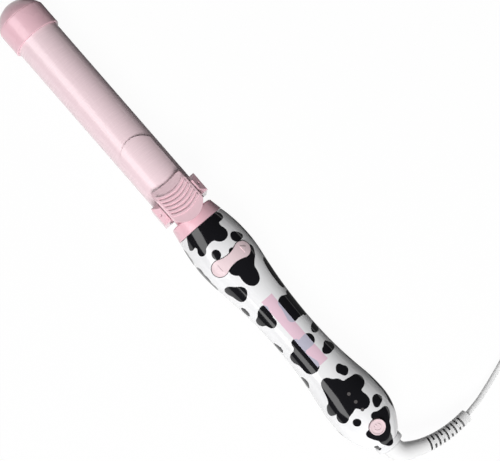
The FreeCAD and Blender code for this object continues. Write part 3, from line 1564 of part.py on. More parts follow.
def make_boot():
    """Strain relief: a smooth elbow, then rings joined by webs that alternate between two directions."""
    start, elbow_point, tail_point = boot_path()
    first_rib = number(size.boot_tail_length - size.boot_collar_length
                       - size.boot_rib_pitch * size.boot_rib_count)
    bend, bend_heading = elbow_point(0)
    bend_end, bend_end_heading = elbow_point(1)
    neck_end, neck_end_heading = tail_point(first_rib)
    spine = Part.Wire([
        Part.LineSegment(start, bend).toShape(),
        Part.Arc(bend, elbow_point(1 / 2)[0], bend_end).toShape(),
        Part.Arc(bend_end, tail_point(first_rib / 2)[0], neck_end).toShape(),
    ])
    rings = [Part.Wire(Part.makeCircle(number(radius), place, heading)) for place, heading, radius in (
        (start, bend_heading, size.boot_radius),
        (bend, bend_heading, size.boot_radius),
        (bend_end, bend_end_heading, size.boot_elbow_end_radius),
        (neck_end, neck_end_heading, size.boot_rib_start_radius),
    )]
    solids = [spine.makePipeShell(rings, True, False)]
    tail_length = number(size.boot_tail_length)
    core_start, core_heading = tail_point(first_rib / 2)
    core_middle = tail_point((first_rib / 2 + tail_length) / 2)[0]
    core_end = tail_point(tail_length)[0]
    core_path = Part.Wire(Part.Arc(core_start, core_middle, core_end).toShape())
    core_ring = Part.Wire(Part.makeCircle(number(size.boot_core_radius), core_start, core_heading))
    solids.append(core_path.makePipeShell([core_ring], True, False))
    pitch = number(size.boot_rib_pitch)
    width = number(size.boot_rib_width)
    count = int(number(size.boot_rib_count))
    fall = number(size.boot_rib_start_radius - size.boot_end_radius)
    overlap = number(size.fit_gap)
    web = number(size.boot_web_width)
    for rib in range(count):
        low = first_rib + pitch * rib + (pitch - width)
        place, heading = tail_point(low)
        radius = number(size.boot_rib_start_radius) - fall * (rib + 1) / (count + 1)
        solids.append(Part.makeCylinder(radius, width, place, heading))
        gap_place, gap_heading = tail_point(low - (pitch - width) - overlap)
        sideways = V(gap_heading.y, -gap_heading.x, 0)
        reach = radius * math.sqrt(1 - (web / 2 / radius) ** 2)
        across = V(0, 0, 1) if rib % 2 else sideways
        other = sideways if rib % 2 else V(0, 0, 1)
        corner = gap_place - across * reach - other * (web / 2)
        face = Part.Face(Part.makePolygon([
            corner, corner + across * (2 * reach), corner + across * (2 * reach) + other * web,
            corner + other * web, corner]))
        solids.append(face.extrude(gap_heading * (pitch - width + 2 * overlap)))
    collar_length = number(size.boot_collar_length)
    place, heading = tail_point(tail_length - collar_length)
    solids.append(Part.makeCylinder(number(size.boot_end_radius), collar_length, place, heading))
    whole = solids[0].multiFuse(solids[1:]).removeSplitter()
    hub = Part.makeCylinder(number(size.hub_spigot_radius + size.fit_gap),
                            number(size.hub_spigot_length + size.fit_gap), start, V(-1, 0, 0))
    boot = doc.addObject("Part::Feature", "cord_boot")
    boot.Shape = whole.cut(hub)
    boot.Placement.Rotation = FreeCAD.Rotation(V(1, 0, 0), number(size.boot_droop))
    finish(boot)
    end, heading = tail_point(tail_length)
    droop = FreeCAD.Rotation(V(1, 0, 0), number(size.boot_droop))
    shift = V(number(seam_x), 0, number(axis_height))
    return droop.multVec(end) + shift, droop.multVec(heading)


# Cord corners, chosen by hand: along X and Y from the boot's end, and the height above the floor.
LEAD_ROUTE = [
    (0.6, -11.9, 7.1),
    (3.2, -24.0, 4.8),
    (6.5, -36.5, 3.6),
]
TAIL_ROUTE = [
    (21.0, -85.5, 13.2),
    (22.4, -93.0, 9.4),
    (23.0, -100.0, 7.7),
    (23.2, -106.5, 7.5),
]


def rounded_route(points):
    """Straight runs joined by tangent arcs, each as large as its two runs allow."""
    run_share = 0.45
    edges = []
    radii = []
    last = points[0]
    for before, corner, after in zip(points, points[1:], points[2:]):
        back = (before - corner).normalize()
        ahead = (after - corner).normalize()
        turn = math.pi - back.getAngle(ahead)
        reach = run_share * min((before - corner).Length, (after - corner).Length)
        radius = reach / math.tan(turn / 2)
        radii.append(radius)
        middle_way = (back + ahead).normalize()
        centre = corner + middle_way * (radius / math.cos(turn / 2))
        arc_start, arc_end = corner + back * reach, corner + ahead * reach
        edges.append(Part.LineSegment(last, arc_start).toShape())
        edges.append(Part.Arc(arc_start, centre - middle_way * radius, arc_end).toShape())
        last = arc_end
    edges.append(Part.LineSegment(last, points[-1]).toShape())
    return Part.Wire(edges), radii


def cord_tube(label, points):
    """One stretch of cord along a route, with its volume compared with its section times its length."""
    path, radii = rounded_route(points)
    radius = number(size.cord_diameter) / 2
    section = Part.Wire(Part.makeCircle(radius, points[0], points[1] - points[0]))
    tube = path.makePipeShell([section], True, False)
    expected = math.pi * radius ** 2 * path.Length
    print(f"{label}: length {path.Length:.1f}, radii {[round(bend) for bend in radii]},"
          f" volume share {tube.Volume / expected:.4f}")
    stretch = doc.addObject("Part::Feature", label)
    stretch.Shape = tube
    subparts.append(stretch)
    return path.Length


def route_corners(exit_point, route):
    return [V(exit_point.x + x, exit_point.y + y, z) for x, y, z in route]


def coil_frame(exit_point):
    """Centre of the coil on the floor, and the directions of its start and of its winding."""
    angle = math.radians(number(size.coil_start_angle))
    start_way = V(math.cos(angle), math.sin(angle), 0)
    ahead = V(math.sin(angle), -math.cos(angle), 0)
    centre = V(exit_point.x + number(size.coil_offset_x), exit_point.y + number(size.coil_offset_y), 0)
    return centre, start_way, ahead


def half_turn_plan():
    """Radius steps of the coil's half turns, layer by layer; one marked True climbs to the next layer."""
    count = int(number(size.coil_layer_half_turns))
    inward = [(-turn, False) for turn in range(count)]
    outward = [(turn - count, False) for turn in range(count + 1)]
    back_inward = [(1 - turn, False) for turn in range(count + 1)]
    return inward + [(-count, True)] + outward + [(1, True)] + back_inward + [(-count, True)] + outward


def coil_path(exit_point):
    """Half turns that spiral in and out again in four layers; the climbs lie beyond each layer's end."""
    centre, start_way, ahead = coil_frame(exit_point)
    step = number(size.cord_diameter + size.coil_gap)
    height = number(size.cord_diameter) / 2 + number(size.tie_thickness + size.tie_room)
    begin = centre + start_way * number(size.coil_outer_radius) + V(0, 0, height)
    point, way = begin, start_way
    edges = []
    for change, climbs in half_turn_plan():
        radius = number(size.coil_outer_radius) + change * step / 2
        hub = point - way * radius
        side = way.cross(V(0, 0, 1))
        far = hub - way * radius
        if climbs:
            # The second quarter climbs, where the layer above has already drawn aside.
            quarter = hub + side * radius
            diagonal = (way + side).normalize()
            edges.append(Part.Arc(point, hub + diagonal * radius, quarter).toShape())
            far = far + V(0, 0, step)
            edges.extend(tangent_pair(quarter, way * -1, far, side * -1))
        else:
            edges.append(Part.Arc(point, hub + side * radius, far).toShape())
        point, way = far, way * -1
    return Part.Wire(edges), begin, point, way.cross(V(0, 0, 1))


def tangent_pair(start, start_way, end, end_way):
    """Two arcs that join two points with given headings and share a heading where they meet."""
    span = end - start
    both = start_way + end_way
    spread = 2 * (1 - start_way.dot(end_way))
    reach = (math.sqrt(span.dot(both) ** 2 + spread * span.dot(span)) - span.dot(both)) / spread
    meeting = (start + start_way * reach + end - end_way * reach) / 2
    return [tangent_arc(start, start_way, meeting), tangent_arc(end, end_way * -1, meeting, flip=True)]


def tangent_arc(start, heading, end, flip=False):
    """The arc that leaves start along a heading and ends at a point, or its reverse."""
    chord = end - start
    normal = chord - heading * chord.dot(heading)
    radius = chord.Length ** 2 / (2 * normal.Length)
    centre = start + normal.normalize() * radius
    bisector = ((start - centre) + (end - centre)).normalize()
    middle = centre + bisector * radius
    if flip:
        return Part.Arc(end, middle, start).toShape()
    return Part.Arc(start, middle, end).toShape()


def least_gap(path, diameter):
    """Smallest clearance between turns, from points along the path that are not neighbours."""
    spacing = diameter / 2
    points = path.discretize(Distance=spacing)
    skip = int(6 * diameter / spacing)
    least = float("inf")
    for place, point in enumerate(points):
        for other in points[place + skip:]:
            least = min(least, point.distanceToPoint(other))
    return least - diameter


def make_cord(exit_point, exit_heading):
    diameter = number(size.cord_diameter)
    path, begin, end, heading = coil_path(exit_point)
    ahead = coil_frame(exit_point)[2]
    lead_in = begin - ahead * diameter
    section = Part.Wire(Part.makeCircle(diameter / 2, lead_in, ahead))
    edges = [Part.LineSegment(lead_in, begin).toShape()] + path.Edges
    lead_out = end + heading * diameter
    edges.append(Part.LineSegment(end, lead_out).toShape())
    whole = Part.Wire(edges)
    coil = doc.addObject("Part::Feature", "cord_coil")
    coil.Shape = whole.makePipeShell([section], True, False)
    subparts.append(coil)
    expected = math.pi * diameter ** 2 / 4 * whole.Length
    print(f"cord_coil: length {whole.Length:.1f}, least gap {least_gap(whole, diameter):.2f},"
          f" volume share {coil.Shape.Volume / expected:.4f}")
    run = ahead * (diameter * number(size.cord_run_diameters))
    lead = [exit_point] + route_corners(exit_point, LEAD_ROUTE)
    lead.extend([lead_in - run, lead_in])
    length = cord_tube("cord_lead", lead)
    tail = [lead_out, lead_out + run] + route_corners(exit_point, TAIL_ROUTE)
    length += cord_tube("cord_tail", tail) + whole.Length
    print(f"cord: length {length:.1f}, leaves the boot at {exit_point} along {exit_heading}")
    print(f"cord route: lead {lead}, tail {tail}")
    return tail[-1], (tail[-1] - tail[-2]).normalize()


def make_tie(exit_point):
    """A flat band round all the turns of the coil, on the side away from the incoming cord."""
    centre, start_way, ahead = coil_frame(exit_point)
    step = number(size.cord_diameter + size.coil_gap)
    radius = number(size.cord_diameter) / 2
    room = number(size.tie_room)
    thickness = number(size.tie_thickness)
    outer = number(size.coil_outer_radius) + radius + step / 2 + room
    width = number(size.tie_width)
    inner_side = number(size.coil_outer_radius) - step * number(size.coil_layer_half_turns) / 2 - radius
    # Half of the turns are wound about a centre that lies half a step to the side.
    inner = math.sqrt(inner_side ** 2 - (width / 2 + step / 2) ** 2) - room
    top = thickness + room + 2 * radius + 3 * step + room
    band_way = ahead
    across = band_way.cross(V(0, 0, 1))

    def frame_face(low, high, floor, ceiling):
        corner = [band_way * low, band_way * high]
        return Part.Face(Part.makePolygon([
            centre + corner[0] + V(0, 0, floor), centre + corner[1] + V(0, 0, floor),
            centre + corner[1] + V(0, 0, ceiling), centre + corner[0] + V(0, 0, ceiling),
            centre + corner[0] + V(0, 0, floor)]))

    start = across * (-width / 2)
    block = frame_face(inner - thickness, outer + thickness, 0, top + thickness).extrude(across * width)
    space = frame_face(inner, outer, thickness, top).extrude(across * width)
    block.translate(start)
    space.translate(start)
    rounded = block.makeFillet(thickness, [edge for edge in block.Edges
                                           if abs(edge.tangentAt(edge.FirstParameter).dot(across)) > 0.99])
    tie = doc.addObject("Part::Feature", "cord_tie")
    tie.Shape = rounded.cut(space)
    subparts.append(tie)


def make_plug(entry, heading):
    """A flat two-blade mains plug, lying on the floor at the cord's end."""
    flat = V(heading.x, heading.y, 0).normalize()
    turn = FreeCAD.Rotation(V(1, 0, 0), flat)
    place = FreeCAD.Placement(entry, turn)
    half = size.plug_height / 2
    nose_half = size.plug_nose_height / 2
    body = new_body("plug_body")
    plan = new_sketch(body, "XY")
    length = size.plug_length_mains
    flare = length / 2
    wide, narrow = size.plug_width / 2, size.plug_nose_width / 2
    outline(plan, [(0, -narrow), (flare, -wide), (length, -wide), (length, wide), (flare, wide), (0, narrow)])
    extrude(body, plan, "Pad", size.plug_height, symmetric=True)
    slopes = new_sketch(body, "XZ")
    outline(slopes, [(0, nose_half), (flare, half), (0, half)])
    cut_checked(body, lambda: extrude(body, slopes, "Pocket", 2 * size.plug_width, symmetric=True))
    under = new_sketch(body, "XZ")
    outline(under, [(0, -nose_half), (flare, -half), (0, -half)])
    cut_checked(body, lambda: extrude(body, under, "Pocket", 2 * size.plug_width, symmetric=True))
    blades = []
    for side in (-1, 1):
        middle = side * size.blade_pitch / 2
        thick = size.blade_thickness / 2
        seat = new_sketch(body, "YZ", length)
        rectangle(seat, middle - thick - size.fit_gap, middle + thick + size.fit_gap,
                  -size.blade_width / 2 - size.fit_gap, size.blade_width / 2 + size.fit_gap)
        cut_checked(body, lambda: extrude(body, seat, "Pocket", size.blade_seat))
        blades.append(box(f"blade_{side + 1}", length - size.blade_seat, length + size.blade_length,
                          middle - thick, middle + thick, -size.blade_width / 2, size.blade_width / 2))
    pins = group("plug_blades", blades)
    for piece in (body, pins):
        piece.Placement = place
        bind(piece, "Placement.Base.z", half)
        subparts.append(piece)


make_front_shell()
make_rear_shell()
make_shell_screws()
make_end_ring()
make_swivel()
make_bearings()
make_spindle()
make_gears()
make_motor()
make_slip_rings()
make_switch_board()
make_rocker()
make_control_board()
make_power_button()
make_barrel()
make_heater()
make_saddle(make_base())
make_spoon()
make_lever()
make_rivets()
make_clip_spring()
boot_exit, boot_heading = make_boot()
plug_entry, plug_heading = make_cord(boot_exit, boot_heading)
make_tie(boot_exit)
make_plug(plug_entry, plug_heading)

doc.recompute()
for item in doc.Objects:
    if "Invalid" in item.State or "Error" in item.State:
        raise RuntimeError(f"{item.Label} failed: {item.State}")
for piece in subparts:
    if piece.Shape.isNull() or not piece.Shape.isValid() or not piece.Shape.Solids:
        raise RuntimeError(f"{piece.Label} has no valid solid")

os.makedirs("parts", exist_ok=True)
for piece in subparts:
    piece.Shape.exportStep(os.path.join("parts", f"{piece.Label}.step"))
    print(f"{piece.Label}: {len(piece.Shape.Solids)} solids, {piece.Shape.Volume:.0f} mm3")
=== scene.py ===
"""Looks of the rotating curling iron: materials, the cow print, the cord, the light and the camera."""
import json
import math

import bpy
from mathutils import Matrix, Vector


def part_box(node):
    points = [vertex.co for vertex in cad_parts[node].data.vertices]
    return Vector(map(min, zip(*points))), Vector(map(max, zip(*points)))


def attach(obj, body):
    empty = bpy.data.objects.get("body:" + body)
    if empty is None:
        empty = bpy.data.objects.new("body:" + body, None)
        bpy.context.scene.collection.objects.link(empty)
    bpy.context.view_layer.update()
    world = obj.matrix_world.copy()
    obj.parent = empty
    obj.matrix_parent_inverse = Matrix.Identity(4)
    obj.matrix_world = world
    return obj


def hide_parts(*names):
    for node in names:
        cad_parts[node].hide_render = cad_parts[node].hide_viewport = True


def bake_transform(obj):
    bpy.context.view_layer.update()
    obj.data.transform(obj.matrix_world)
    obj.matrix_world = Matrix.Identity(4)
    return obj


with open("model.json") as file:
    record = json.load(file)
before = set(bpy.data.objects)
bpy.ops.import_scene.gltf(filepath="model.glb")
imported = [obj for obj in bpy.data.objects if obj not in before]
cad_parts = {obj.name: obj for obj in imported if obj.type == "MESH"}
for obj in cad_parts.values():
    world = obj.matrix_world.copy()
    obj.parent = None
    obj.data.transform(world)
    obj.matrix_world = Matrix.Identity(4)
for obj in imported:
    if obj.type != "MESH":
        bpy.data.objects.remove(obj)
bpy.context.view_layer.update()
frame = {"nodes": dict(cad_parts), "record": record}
nodes = frame["nodes"]
MM = 0.001

# The seam of handle and collar, and the axis of the iron, in the frame
SEAM_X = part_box("front_shell")[1].x
AXIS_Z = (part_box("barrel_tube")[0].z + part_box("barrel_tube")[1].z) / 2

# Colours, as linear light
WHITE_SHELL = (0.86, 0.86, 0.87)
BLACK_SPOT = (0.008, 0.008, 0.010)
PINK = (0.88, 0.56, 0.63)
LIGHT_PINK = (0.82, 0.65, 0.68)
LEVER_PINK = (0.88, 0.61, 0.67)
PALE_PINK = (0.90, 0.70, 0.745)
BAND_PINK = (0.79, 0.56, 0.66)
BAND_LAVENDER = (0.50, 0.49, 0.59)
SOFT_WHITE = (0.84, 0.84, 0.84)

# Photograph: camera distance, the point that it looks at, and how it is turned
CAMERA_DISTANCE = 650.0 * MM
CAMERA_STATION = 23.6 * MM
CAMERA_ASIDE = -22.8 * MM
CAMERA_TARGET = Vector((SEAM_X - CAMERA_STATION, CAMERA_ASIDE, AXIS_Z))
CAMERA_ROLL = math.radians(49.0)
CAMERA_TILT = math.radians(5.0)
CAMERA_WAY = Vector((0, math.sin(CAMERA_TILT), math.cos(CAMERA_TILT)))
CAMERA_PLACE = CAMERA_TARGET + CAMERA_WAY * CAMERA_DISTANCE
VIEW_HALF_WIDTH = 166.4 * MM
SENSOR_WIDTH = 36.0
UP = Vector((0, 0, 1))

# Relief and mottling of the materials; scales are per metre
FINE_DETAIL = 2.0
MOTTLE_SCALE = 60.0
MOTTLE_DETAIL = 3.0
MOTTLE_SHADE_SHARE = 0.96
SKIN_SCALE = 700.0
SKIN_STRENGTH = 0.02
SKIN_DEPTH = 0.05 * MM
EDGE_RADIUS = 0.35 * MM
GLOSS_SPREAD = 0.08
PLASTIC_COAT_ROUGHNESS = 0.06
# Painted shade: an ambient occlusion node darkens the colour in narrow slots and gaps of the soft white parts
SLOT_PAINTED_SHADE_REACH = 3.0 * MM
SLOT_PAINTED_SHADE_SAMPLES = 8
SLOT_PAINTED_SHADE_CLOSED_SHARE = 0.35
SLOT_PAINTED_SHADE_OPEN_SHARE = 0.85
SLOT_PAINTED_SHADE_SHARE = 0.06
STREAK_SCALE = 900.0
STREAK_SHADE_SHARE = 0.9
STREAK_STRENGTH = 0.04
STREAK_DEPTH = 0.1 * MM
METAL_GLOSS_SPREAD = 0.15
METAL_GLOSS_DROP = 0.07
METAL_EDGE_RADIUS = 0.2 * MM
DRAWN_ALONG = (0.03, 1.0, 1.0)
TURNED_ROUND = (40.0, 1.0, 1.0)
TURNING_SCALE = 90.0
TURNING_SHADE_SHARE = 0.97
TURNING_STRENGTH = 0.01
TURNING_DEPTH = 0.02 * MM
BARREL_GLOSS_SPREAD = 0.06
BARREL_ROUGHNESS = 0.24
BARREL_COAT = 0.4
BARREL_COAT_ROUGHNESS = 0.12
BARREL_EDGE_RADIUS = 0.3 * MM
TRACK_SCALE = 160.0
TRACK_GAP_SHARE = 0.012
LENS_SCALE = 400.0
SHELL_SCALE = 40.0
SHELL_SHADE_SHARE = 0.985


def link_object(name, data):
    """A new object in the scene."""
    made = bpy.data.objects.new(name, data)
    bpy.context.scene.collection.objects.link(made)
    return made


def make_camera():
    """A camera over the buttons, turned so that the iron runs from upper left to lower right."""
    data = bpy.data.cameras.new("camera")
    data.sensor_width = SENSOR_WIDTH
    data.lens = SENSOR_WIDTH / 2 * CAMERA_DISTANCE / VIEW_HALF_WIDTH
    camera = link_object("camera", data)
    right = Vector((-math.cos(CAMERA_ROLL), -math.sin(CAMERA_ROLL), 0))
    up = Vector((math.sin(CAMERA_ROLL), -math.cos(CAMERA_ROLL), 0))
    level = Matrix((right, up, UP)).transposed().to_4x4()
    tilt = Matrix.Rotation(-CAMERA_TILT, 4, "X")
    camera.matrix_world = Matrix.Translation(CAMERA_PLACE) @ tilt @ level
    bpy.context.scene.camera = camera


class Tree:
    """Small helper for writing a material's nodes."""

    def __init__(self, name):
        self.material = bpy.data.materials.new(name)
        self.material.use_nodes = True
        self.nodes = self.material.node_tree.nodes
        self.links = self.material.node_tree.links
        self.shader = self.nodes["Principled BSDF"]

    def add(self, kind, inputs=(), **settings):
        node = self.nodes.new(kind)
        for name, value in settings.items():
            setattr(node, name, value)
        for socket, value in dict(inputs).items():
            self.feed(node.inputs[socket], value)
        return node

    def feed(self, socket, value):
        if isinstance(value, bpy.types.NodeSocket):
            self.links.new(value, socket)
        else:
            socket.default_value = value

    def math(self, operation, first, second=0.0, third=0.0):
        return self.add("ShaderNodeMath", {0: first, 1: second, 2: third}, operation=operation).outputs[0]

    def mix(self, factor, first, second):
        node = self.add("ShaderNodeMix", data_type="RGBA")
        self.feed(node.inputs["Factor"], factor)
        self.feed(node.inputs["A"], first)
        self.feed(node.inputs["B"], second)
        return node.outputs["Result"]

    def place(self):
        return self.add("ShaderNodeTexCoord").outputs["Object"]

    def noise(self, scale, detail=FINE_DETAIL, vector=None):
        node = self.add("ShaderNodeTexNoise", {"Scale": scale, "Detail": detail})
        self.feed(node.inputs["Vector"], vector or self.place())
        return node.outputs["Fac"]

    def bump(self, height, strength, distance, edge=0.0):
        """Surface relief, with edges rounded by a bevel where a radius is given."""
        node = self.add("ShaderNodeBump", {"Height": height, "Strength": strength, "Distance": distance})
        if edge:
            self.links.new(self.add("ShaderNodeBevel", {"Radius": edge}).outputs[0], node.inputs["Normal"])
        self.links.new(node.outputs[0], self.shader.inputs["Normal"])

    def set(self, **values):
        for name, value in values.items():
            self.feed(self.shader.inputs[name.replace("_", " ")], value)
        return self


def rgba(colour):
    return (*colour, 1.0)


def shaded(colour, share):
    """A colour darkened to a share of its light."""
    return rgba(tuple(part * share for part in colour))


def plastic(name, colour, roughness, coat, edge=EDGE_RADIUS, slot=0.0):
    """Moulded plastic: slightly mottled colour and gloss, a fine skin, and, where asked, painted shade that
    darkens the colour in narrow slots and gaps.
    """
    tree = Tree(name)
    mottle = tree.noise(MOTTLE_SCALE, MOTTLE_DETAIL)
    skin = tree.mix(mottle, shaded(colour, MOTTLE_SHADE_SHARE), rgba(colour))
    # Painted shade: where ambient occlusion finds surfaces close by, the colour is darkened towards a small
    # share of itself
    if slot:
        painted_shade_occlusion = tree.add("ShaderNodeAmbientOcclusion", {"Distance": slot}, samples=SLOT_PAINTED_SHADE_SAMPLES)
        light = tree.add("ShaderNodeMapRange", {"Value": painted_shade_occlusion.outputs["AO"], "From Min": SLOT_PAINTED_SHADE_CLOSED_SHARE,
                                                "From Max": SLOT_PAINTED_SHADE_OPEN_SHARE})
        skin = tree.mix(light.outputs[0], shaded(colour, SLOT_PAINTED_SHADE_SHARE), skin)
    rough = tree.math("MULTIPLY_ADD", mottle, GLOSS_SPREAD, roughness - GLOSS_SPREAD / 2)
    tree.set(Base_Color=skin, Roughness=rough, Coat_Weight=coat, Coat_Roughness=PLASTIC_COAT_ROUGHNESS)
    tree.bump(tree.noise(SKIN_SCALE), SKIN_STRENGTH, SKIN_DEPTH, edge)
    return tree.material


def metal(name, colour, roughness, brushed=(1.0, 1.0, 1.0)):
    """Bare metal with fine streaks, which are drawn out where it is brushed."""
    tree = Tree(name)
    stretched = tree.add("ShaderNodeMapping", {"Vector": tree.place(), "Scale": brushed}).outputs[0]
    streaks = tree.noise(STREAK_SCALE, vector=stretched)
    rough = tree.math("MULTIPLY_ADD", streaks, METAL_GLOSS_SPREAD, roughness - METAL_GLOSS_DROP)
    tint = tree.mix(streaks, shaded(colour, STREAK_SHADE_SHARE), rgba(colour))
    tree.set(Base_Color=tint, Metallic=1.0, Roughness=rough)
    tree.bump(streaks, STREAK_STRENGTH, STREAK_DEPTH, METAL_EDGE_RADIUS)
    return tree.material


def coated_barrel(name):
    """Pale baked coating on the barrel: satin, with faint lines left by turning."""
    tree = Tree(name)
    turned = tree.add("ShaderNodeMapping", {"Vector": tree.place(), "Scale": TURNED_ROUND}).outputs[0]
    lines = tree.noise(TURNING_SCALE, vector=turned)
    rough = tree.math("MULTIPLY_ADD", lines, BARREL_GLOSS_SPREAD, BARREL_ROUGHNESS)
    tint = tree.mix(lines, shaded(PALE_PINK, TURNING_SHADE_SHARE), rgba(PALE_PINK))
    tree.set(Base_Color=tint, Roughness=rough, Coat_Weight=BARREL_COAT, Coat_Roughness=BARREL_COAT_ROUGHNESS)
    tree.bump(lines, TURNING_STRENGTH, TURNING_DEPTH, BARREL_EDGE_RADIUS)
    return tree.material


def board_material(name):
    """Green circuit board with paler tracks."""
    tree = Tree(name)
    tracks = tree.add("ShaderNodeTexBrick", {
        "Vector": tree.place(),
        "Scale": TRACK_SCALE,
        "Mortar Size": TRACK_GAP_SHARE,
        "Color1": rgba((0.02, 0.14, 0.06)),
        "Color2": rgba((0.02, 0.17, 0.07)),
        "Mortar": rgba((0.25, 0.30, 0.12)),
    })
    tree.set(Base_Color=tracks.outputs["Color"], Roughness=0.4)
    return tree.material


def lens_material(name):
    """Smoked lenses over the lamps."""
    tree = Tree(name)
    tint = tree.mix(tree.noise(LENS_SCALE), rgba((0.09, 0.085, 0.085)), rgba((0.12, 0.11, 0.11)))
    tree.set(Base_Color=tint, Roughness=0.15, Coat_Weight=0.6)
    return tree.material


# Cow print: each spot is a few discs that run together, as (station from the seam, across, radius) in
# millimetres. On the face, across is what a viewer above the buttons measures from the axis.
WRAP_RADIUS = 18.0
HALF_ROUND = math.pi / 2 * WRAP_RADIUS
BLEND = 4.0
SPOT_REACH = 9.0
SPOT_GROWTH_SHARE = 1.06
EDGE_SOFTNESS = 0.12
LEAST_FACING_SHARE = 0.25
VIEW_STEPS = 4
FACE_SPOTS = [
    # By the collar
    [(2.4, -13.3, 3.3), (3.9, -4.0, 6.6), (12.0, -6.4, 4.9), (5.7, 0.8, 6.0), (7.4, 6.8, 5.1),
     (13.4, 11.0, 2.7), (1.0, 5.0, 3.6), (2.0, 10.8, 3.2), (4.6, 13.2, 2.0), (7.0, 15.0, 1.4)],
    # Round the rocker
    [(20.8, -13.2, 2.7), (18.4, -12.9, 1.7), (21.8, -15.4, 1.8)],
    [(20.3, 4.7, 2.4), (22.1, 4.9, 2.2)],
    [(26.3, -5.0, 2.3)],
    [(32.6, -14.8, 2.7), (35.6, -12.4, 3.7), (37.4, -5.2, 5.7), (44.6, -3.7, 5.7), (48.2, -3.3, 5.1),
     (36.5, 1.4, 4.2), (39.0, -9.0, 3.2)],
    [(50.9, 8.6, 2.9), (53.0, 11.5, 3.5), (49.4, 11.9, 3.7), (46.1, 14.3, 2.7), (44.0, 15.1, 1.8)],
    # At the band
    [(74.0, -9.1, 3.6), (79.3, -10.0, 4.5), (81.5, -10.2, 4.0), (86.2, -6.0, 2.2), (83.5, -14.2, 5.0),
     (76.0, -13.5, 4.0)],
    [(69.5, 4.7, 2.5), (71.0, 7.4, 3.0), (74.6, 7.4, 3.7), (79.9, 7.1, 3.1), (74.3, 11.6, 3.3)],
    [(98.7, -14.1, 1.5), (100.8, -13.6, 1.9), (101.9, -12.7, 1.3)],
    [(104.0, -4.6, 4.1), (104.2, 0.2, 3.8)],
    [(113.4, -12.3, 1.6), (117.0, -13.6, 2.5), (117.6, -10.6, 1.9), (116.7, -8.8, 1.9)],
    [(100.2, 3.5, 2.7), (105.6, 4.4, 3.6), (108.0, 9.8, 4.1), (113.4, 7.4, 4.5), (118.2, 7.1, 4.8),
     (119.4, 4.4, 3.3)],
    # Round the lamps
    [(131.1, -8.8, 1.9), (132.9, -7.0, 1.8), (134.7, -10.6, 2.1), (136.3, -8.8, 1.8)],
    [(146.4, -11.2, 4.7), (146.4, -5.8, 5.4), (148.8, -1.0, 6.0), (153.6, -2.8, 5.4), (158.4, -4.6, 5.0),
     (135.0, 5.9, 4.2), (140.4, 6.2, 5.5), (147.0, 7.4, 6.4), (153.6, 6.8, 6.0), (158.4, 12.8, 3.5),
     (150.6, 16.1, 2.3), (139.5, 0.5, 3.8), (148.0, 14.4, 2.4)],
    [(163.3, -12.9, 2.7), (164.8, -14.4, 1.8), (166.1, -10.8, 1.9)],
    [(166.9, 7.4, 2.6)],
    # Round the power button
    [(174.0, -11.4, 3.5), (174.5, -7.3, 4.0), (171.0, -4.5, 2.3), (181.7, -2.7, 6.1), (181.7, 1.9, 4.6),
     (188.3, -0.1, 4.0), (178.6, 5.0, 3.0), (177.0, -10.0, 2.4), (190.0, -0.6, 2.8)],
    [(187.4, 8.0, 1.1), (189.6, 7.9, 1.2)],
]
# Spots on the sides and the back, with across counted round the handle from the line of the buttons
SIDE_SPOTS = [
    [(12.5, -26.5, 4.6), (19.0, -26.8, 5.6), (26.0, -26.0, 4.6)],
    [(38.5, -25.0, 3.2)],
    [(46.0, -20.6, 3.4), (50.5, -20.4, 4.2), (55.5, -20.2, 4.2), (60.5, -20.0, 3.8), (63.5, -20.0, 3.0)],
    [(73.0, -20.0, 4.0), (80.0, -20.5, 5.5), (85.0, -20.0, 4.5)],
    [(129.5, -25.0, 3.4)],
    [(150.0, -25.2, 4.0), (156.0, -25.6, 4.8), (162.0, -25.0, 4.6), (167.0, -23.0, 4.2), (169.5, -21.5, 2.4)],
    [(184.5, -25.0, 3.2), (188.0, -22.5, 3.4)],
    [(22.5, 24.6, 3.6), (29.0, 25.6, 4.4), (36.0, 26.2, 3.6)],
    [(8.0, 26.5, 3.4), (13.0, 26.6, 3.8)],
    [(60.8, 20.8, 2.6), (63.4, 21.2, 2.4)],
    [(95.3, 21.8, 3.0), (92.2, 23.0, 2.4)],
    [(122.8, 21.6, 2.6), (120.5, 22.8, 2.0), (125.2, 23.2, 2.0)],
    [(164.0, 28.2, 3.4)],
    [(4.0, -41.0, 5.0), (7.0, -46.0, 4.0)],
    [(30.0, -45.0, 6.0), (36.0, -42.0, 5.0)],
    [(12.0, 45.0, 5.0), (17.0, 48.0, 4.0)],
    [(48.0, 46.0, 7.0), (55.0, 43.0, 5.0), (51.0, 38.0, 4.0)],
    [(62.0, -40.0, 6.0), (68.0, -44.0, 5.0)],
    [(76.0, 49.0, 5.0)],
    [(88.0, 38.0, 5.0), (93.0, 43.0, 6.0), (86.0, 45.0, 4.0)],
    [(100.0, -36.0, 5.0), (106.0, -41.0, 6.0)],
    [(110.0, 40.0, 3.0)],
    [(118.0, 48.0, 6.0), (124.0, 45.0, 5.0)],
    [(130.0, -47.0, 6.0)],
    [(140.0, 42.0, 6.0), (147.0, 46.0, 7.0), (152.0, 41.0, 5.0)],
    [(146.0, -42.0, 4.0)],
    [(172.0, 43.0, 6.0), (178.0, 39.0, 5.0)],
    [(165.0, -47.0, 6.0)],
    [(182.0, -46.0, 6.0)],
]
BAND_STATIONS = (64.7, 122.1)
BAND_EDGES = (-5.7, 2.7)

# Handle in millimetres, near enough to place the print: two bulges with a waist between them
BULGE_RADIUS = 20.8
WAIST_RADIUS = 15.15
END_RADIUS = 9.6
FRONT_BULGE_STATION = 23.6
REAR_BULGE_STATION = 160.0
SHELL_END_STATION = 188.0
RING_END_STATION = 192.0


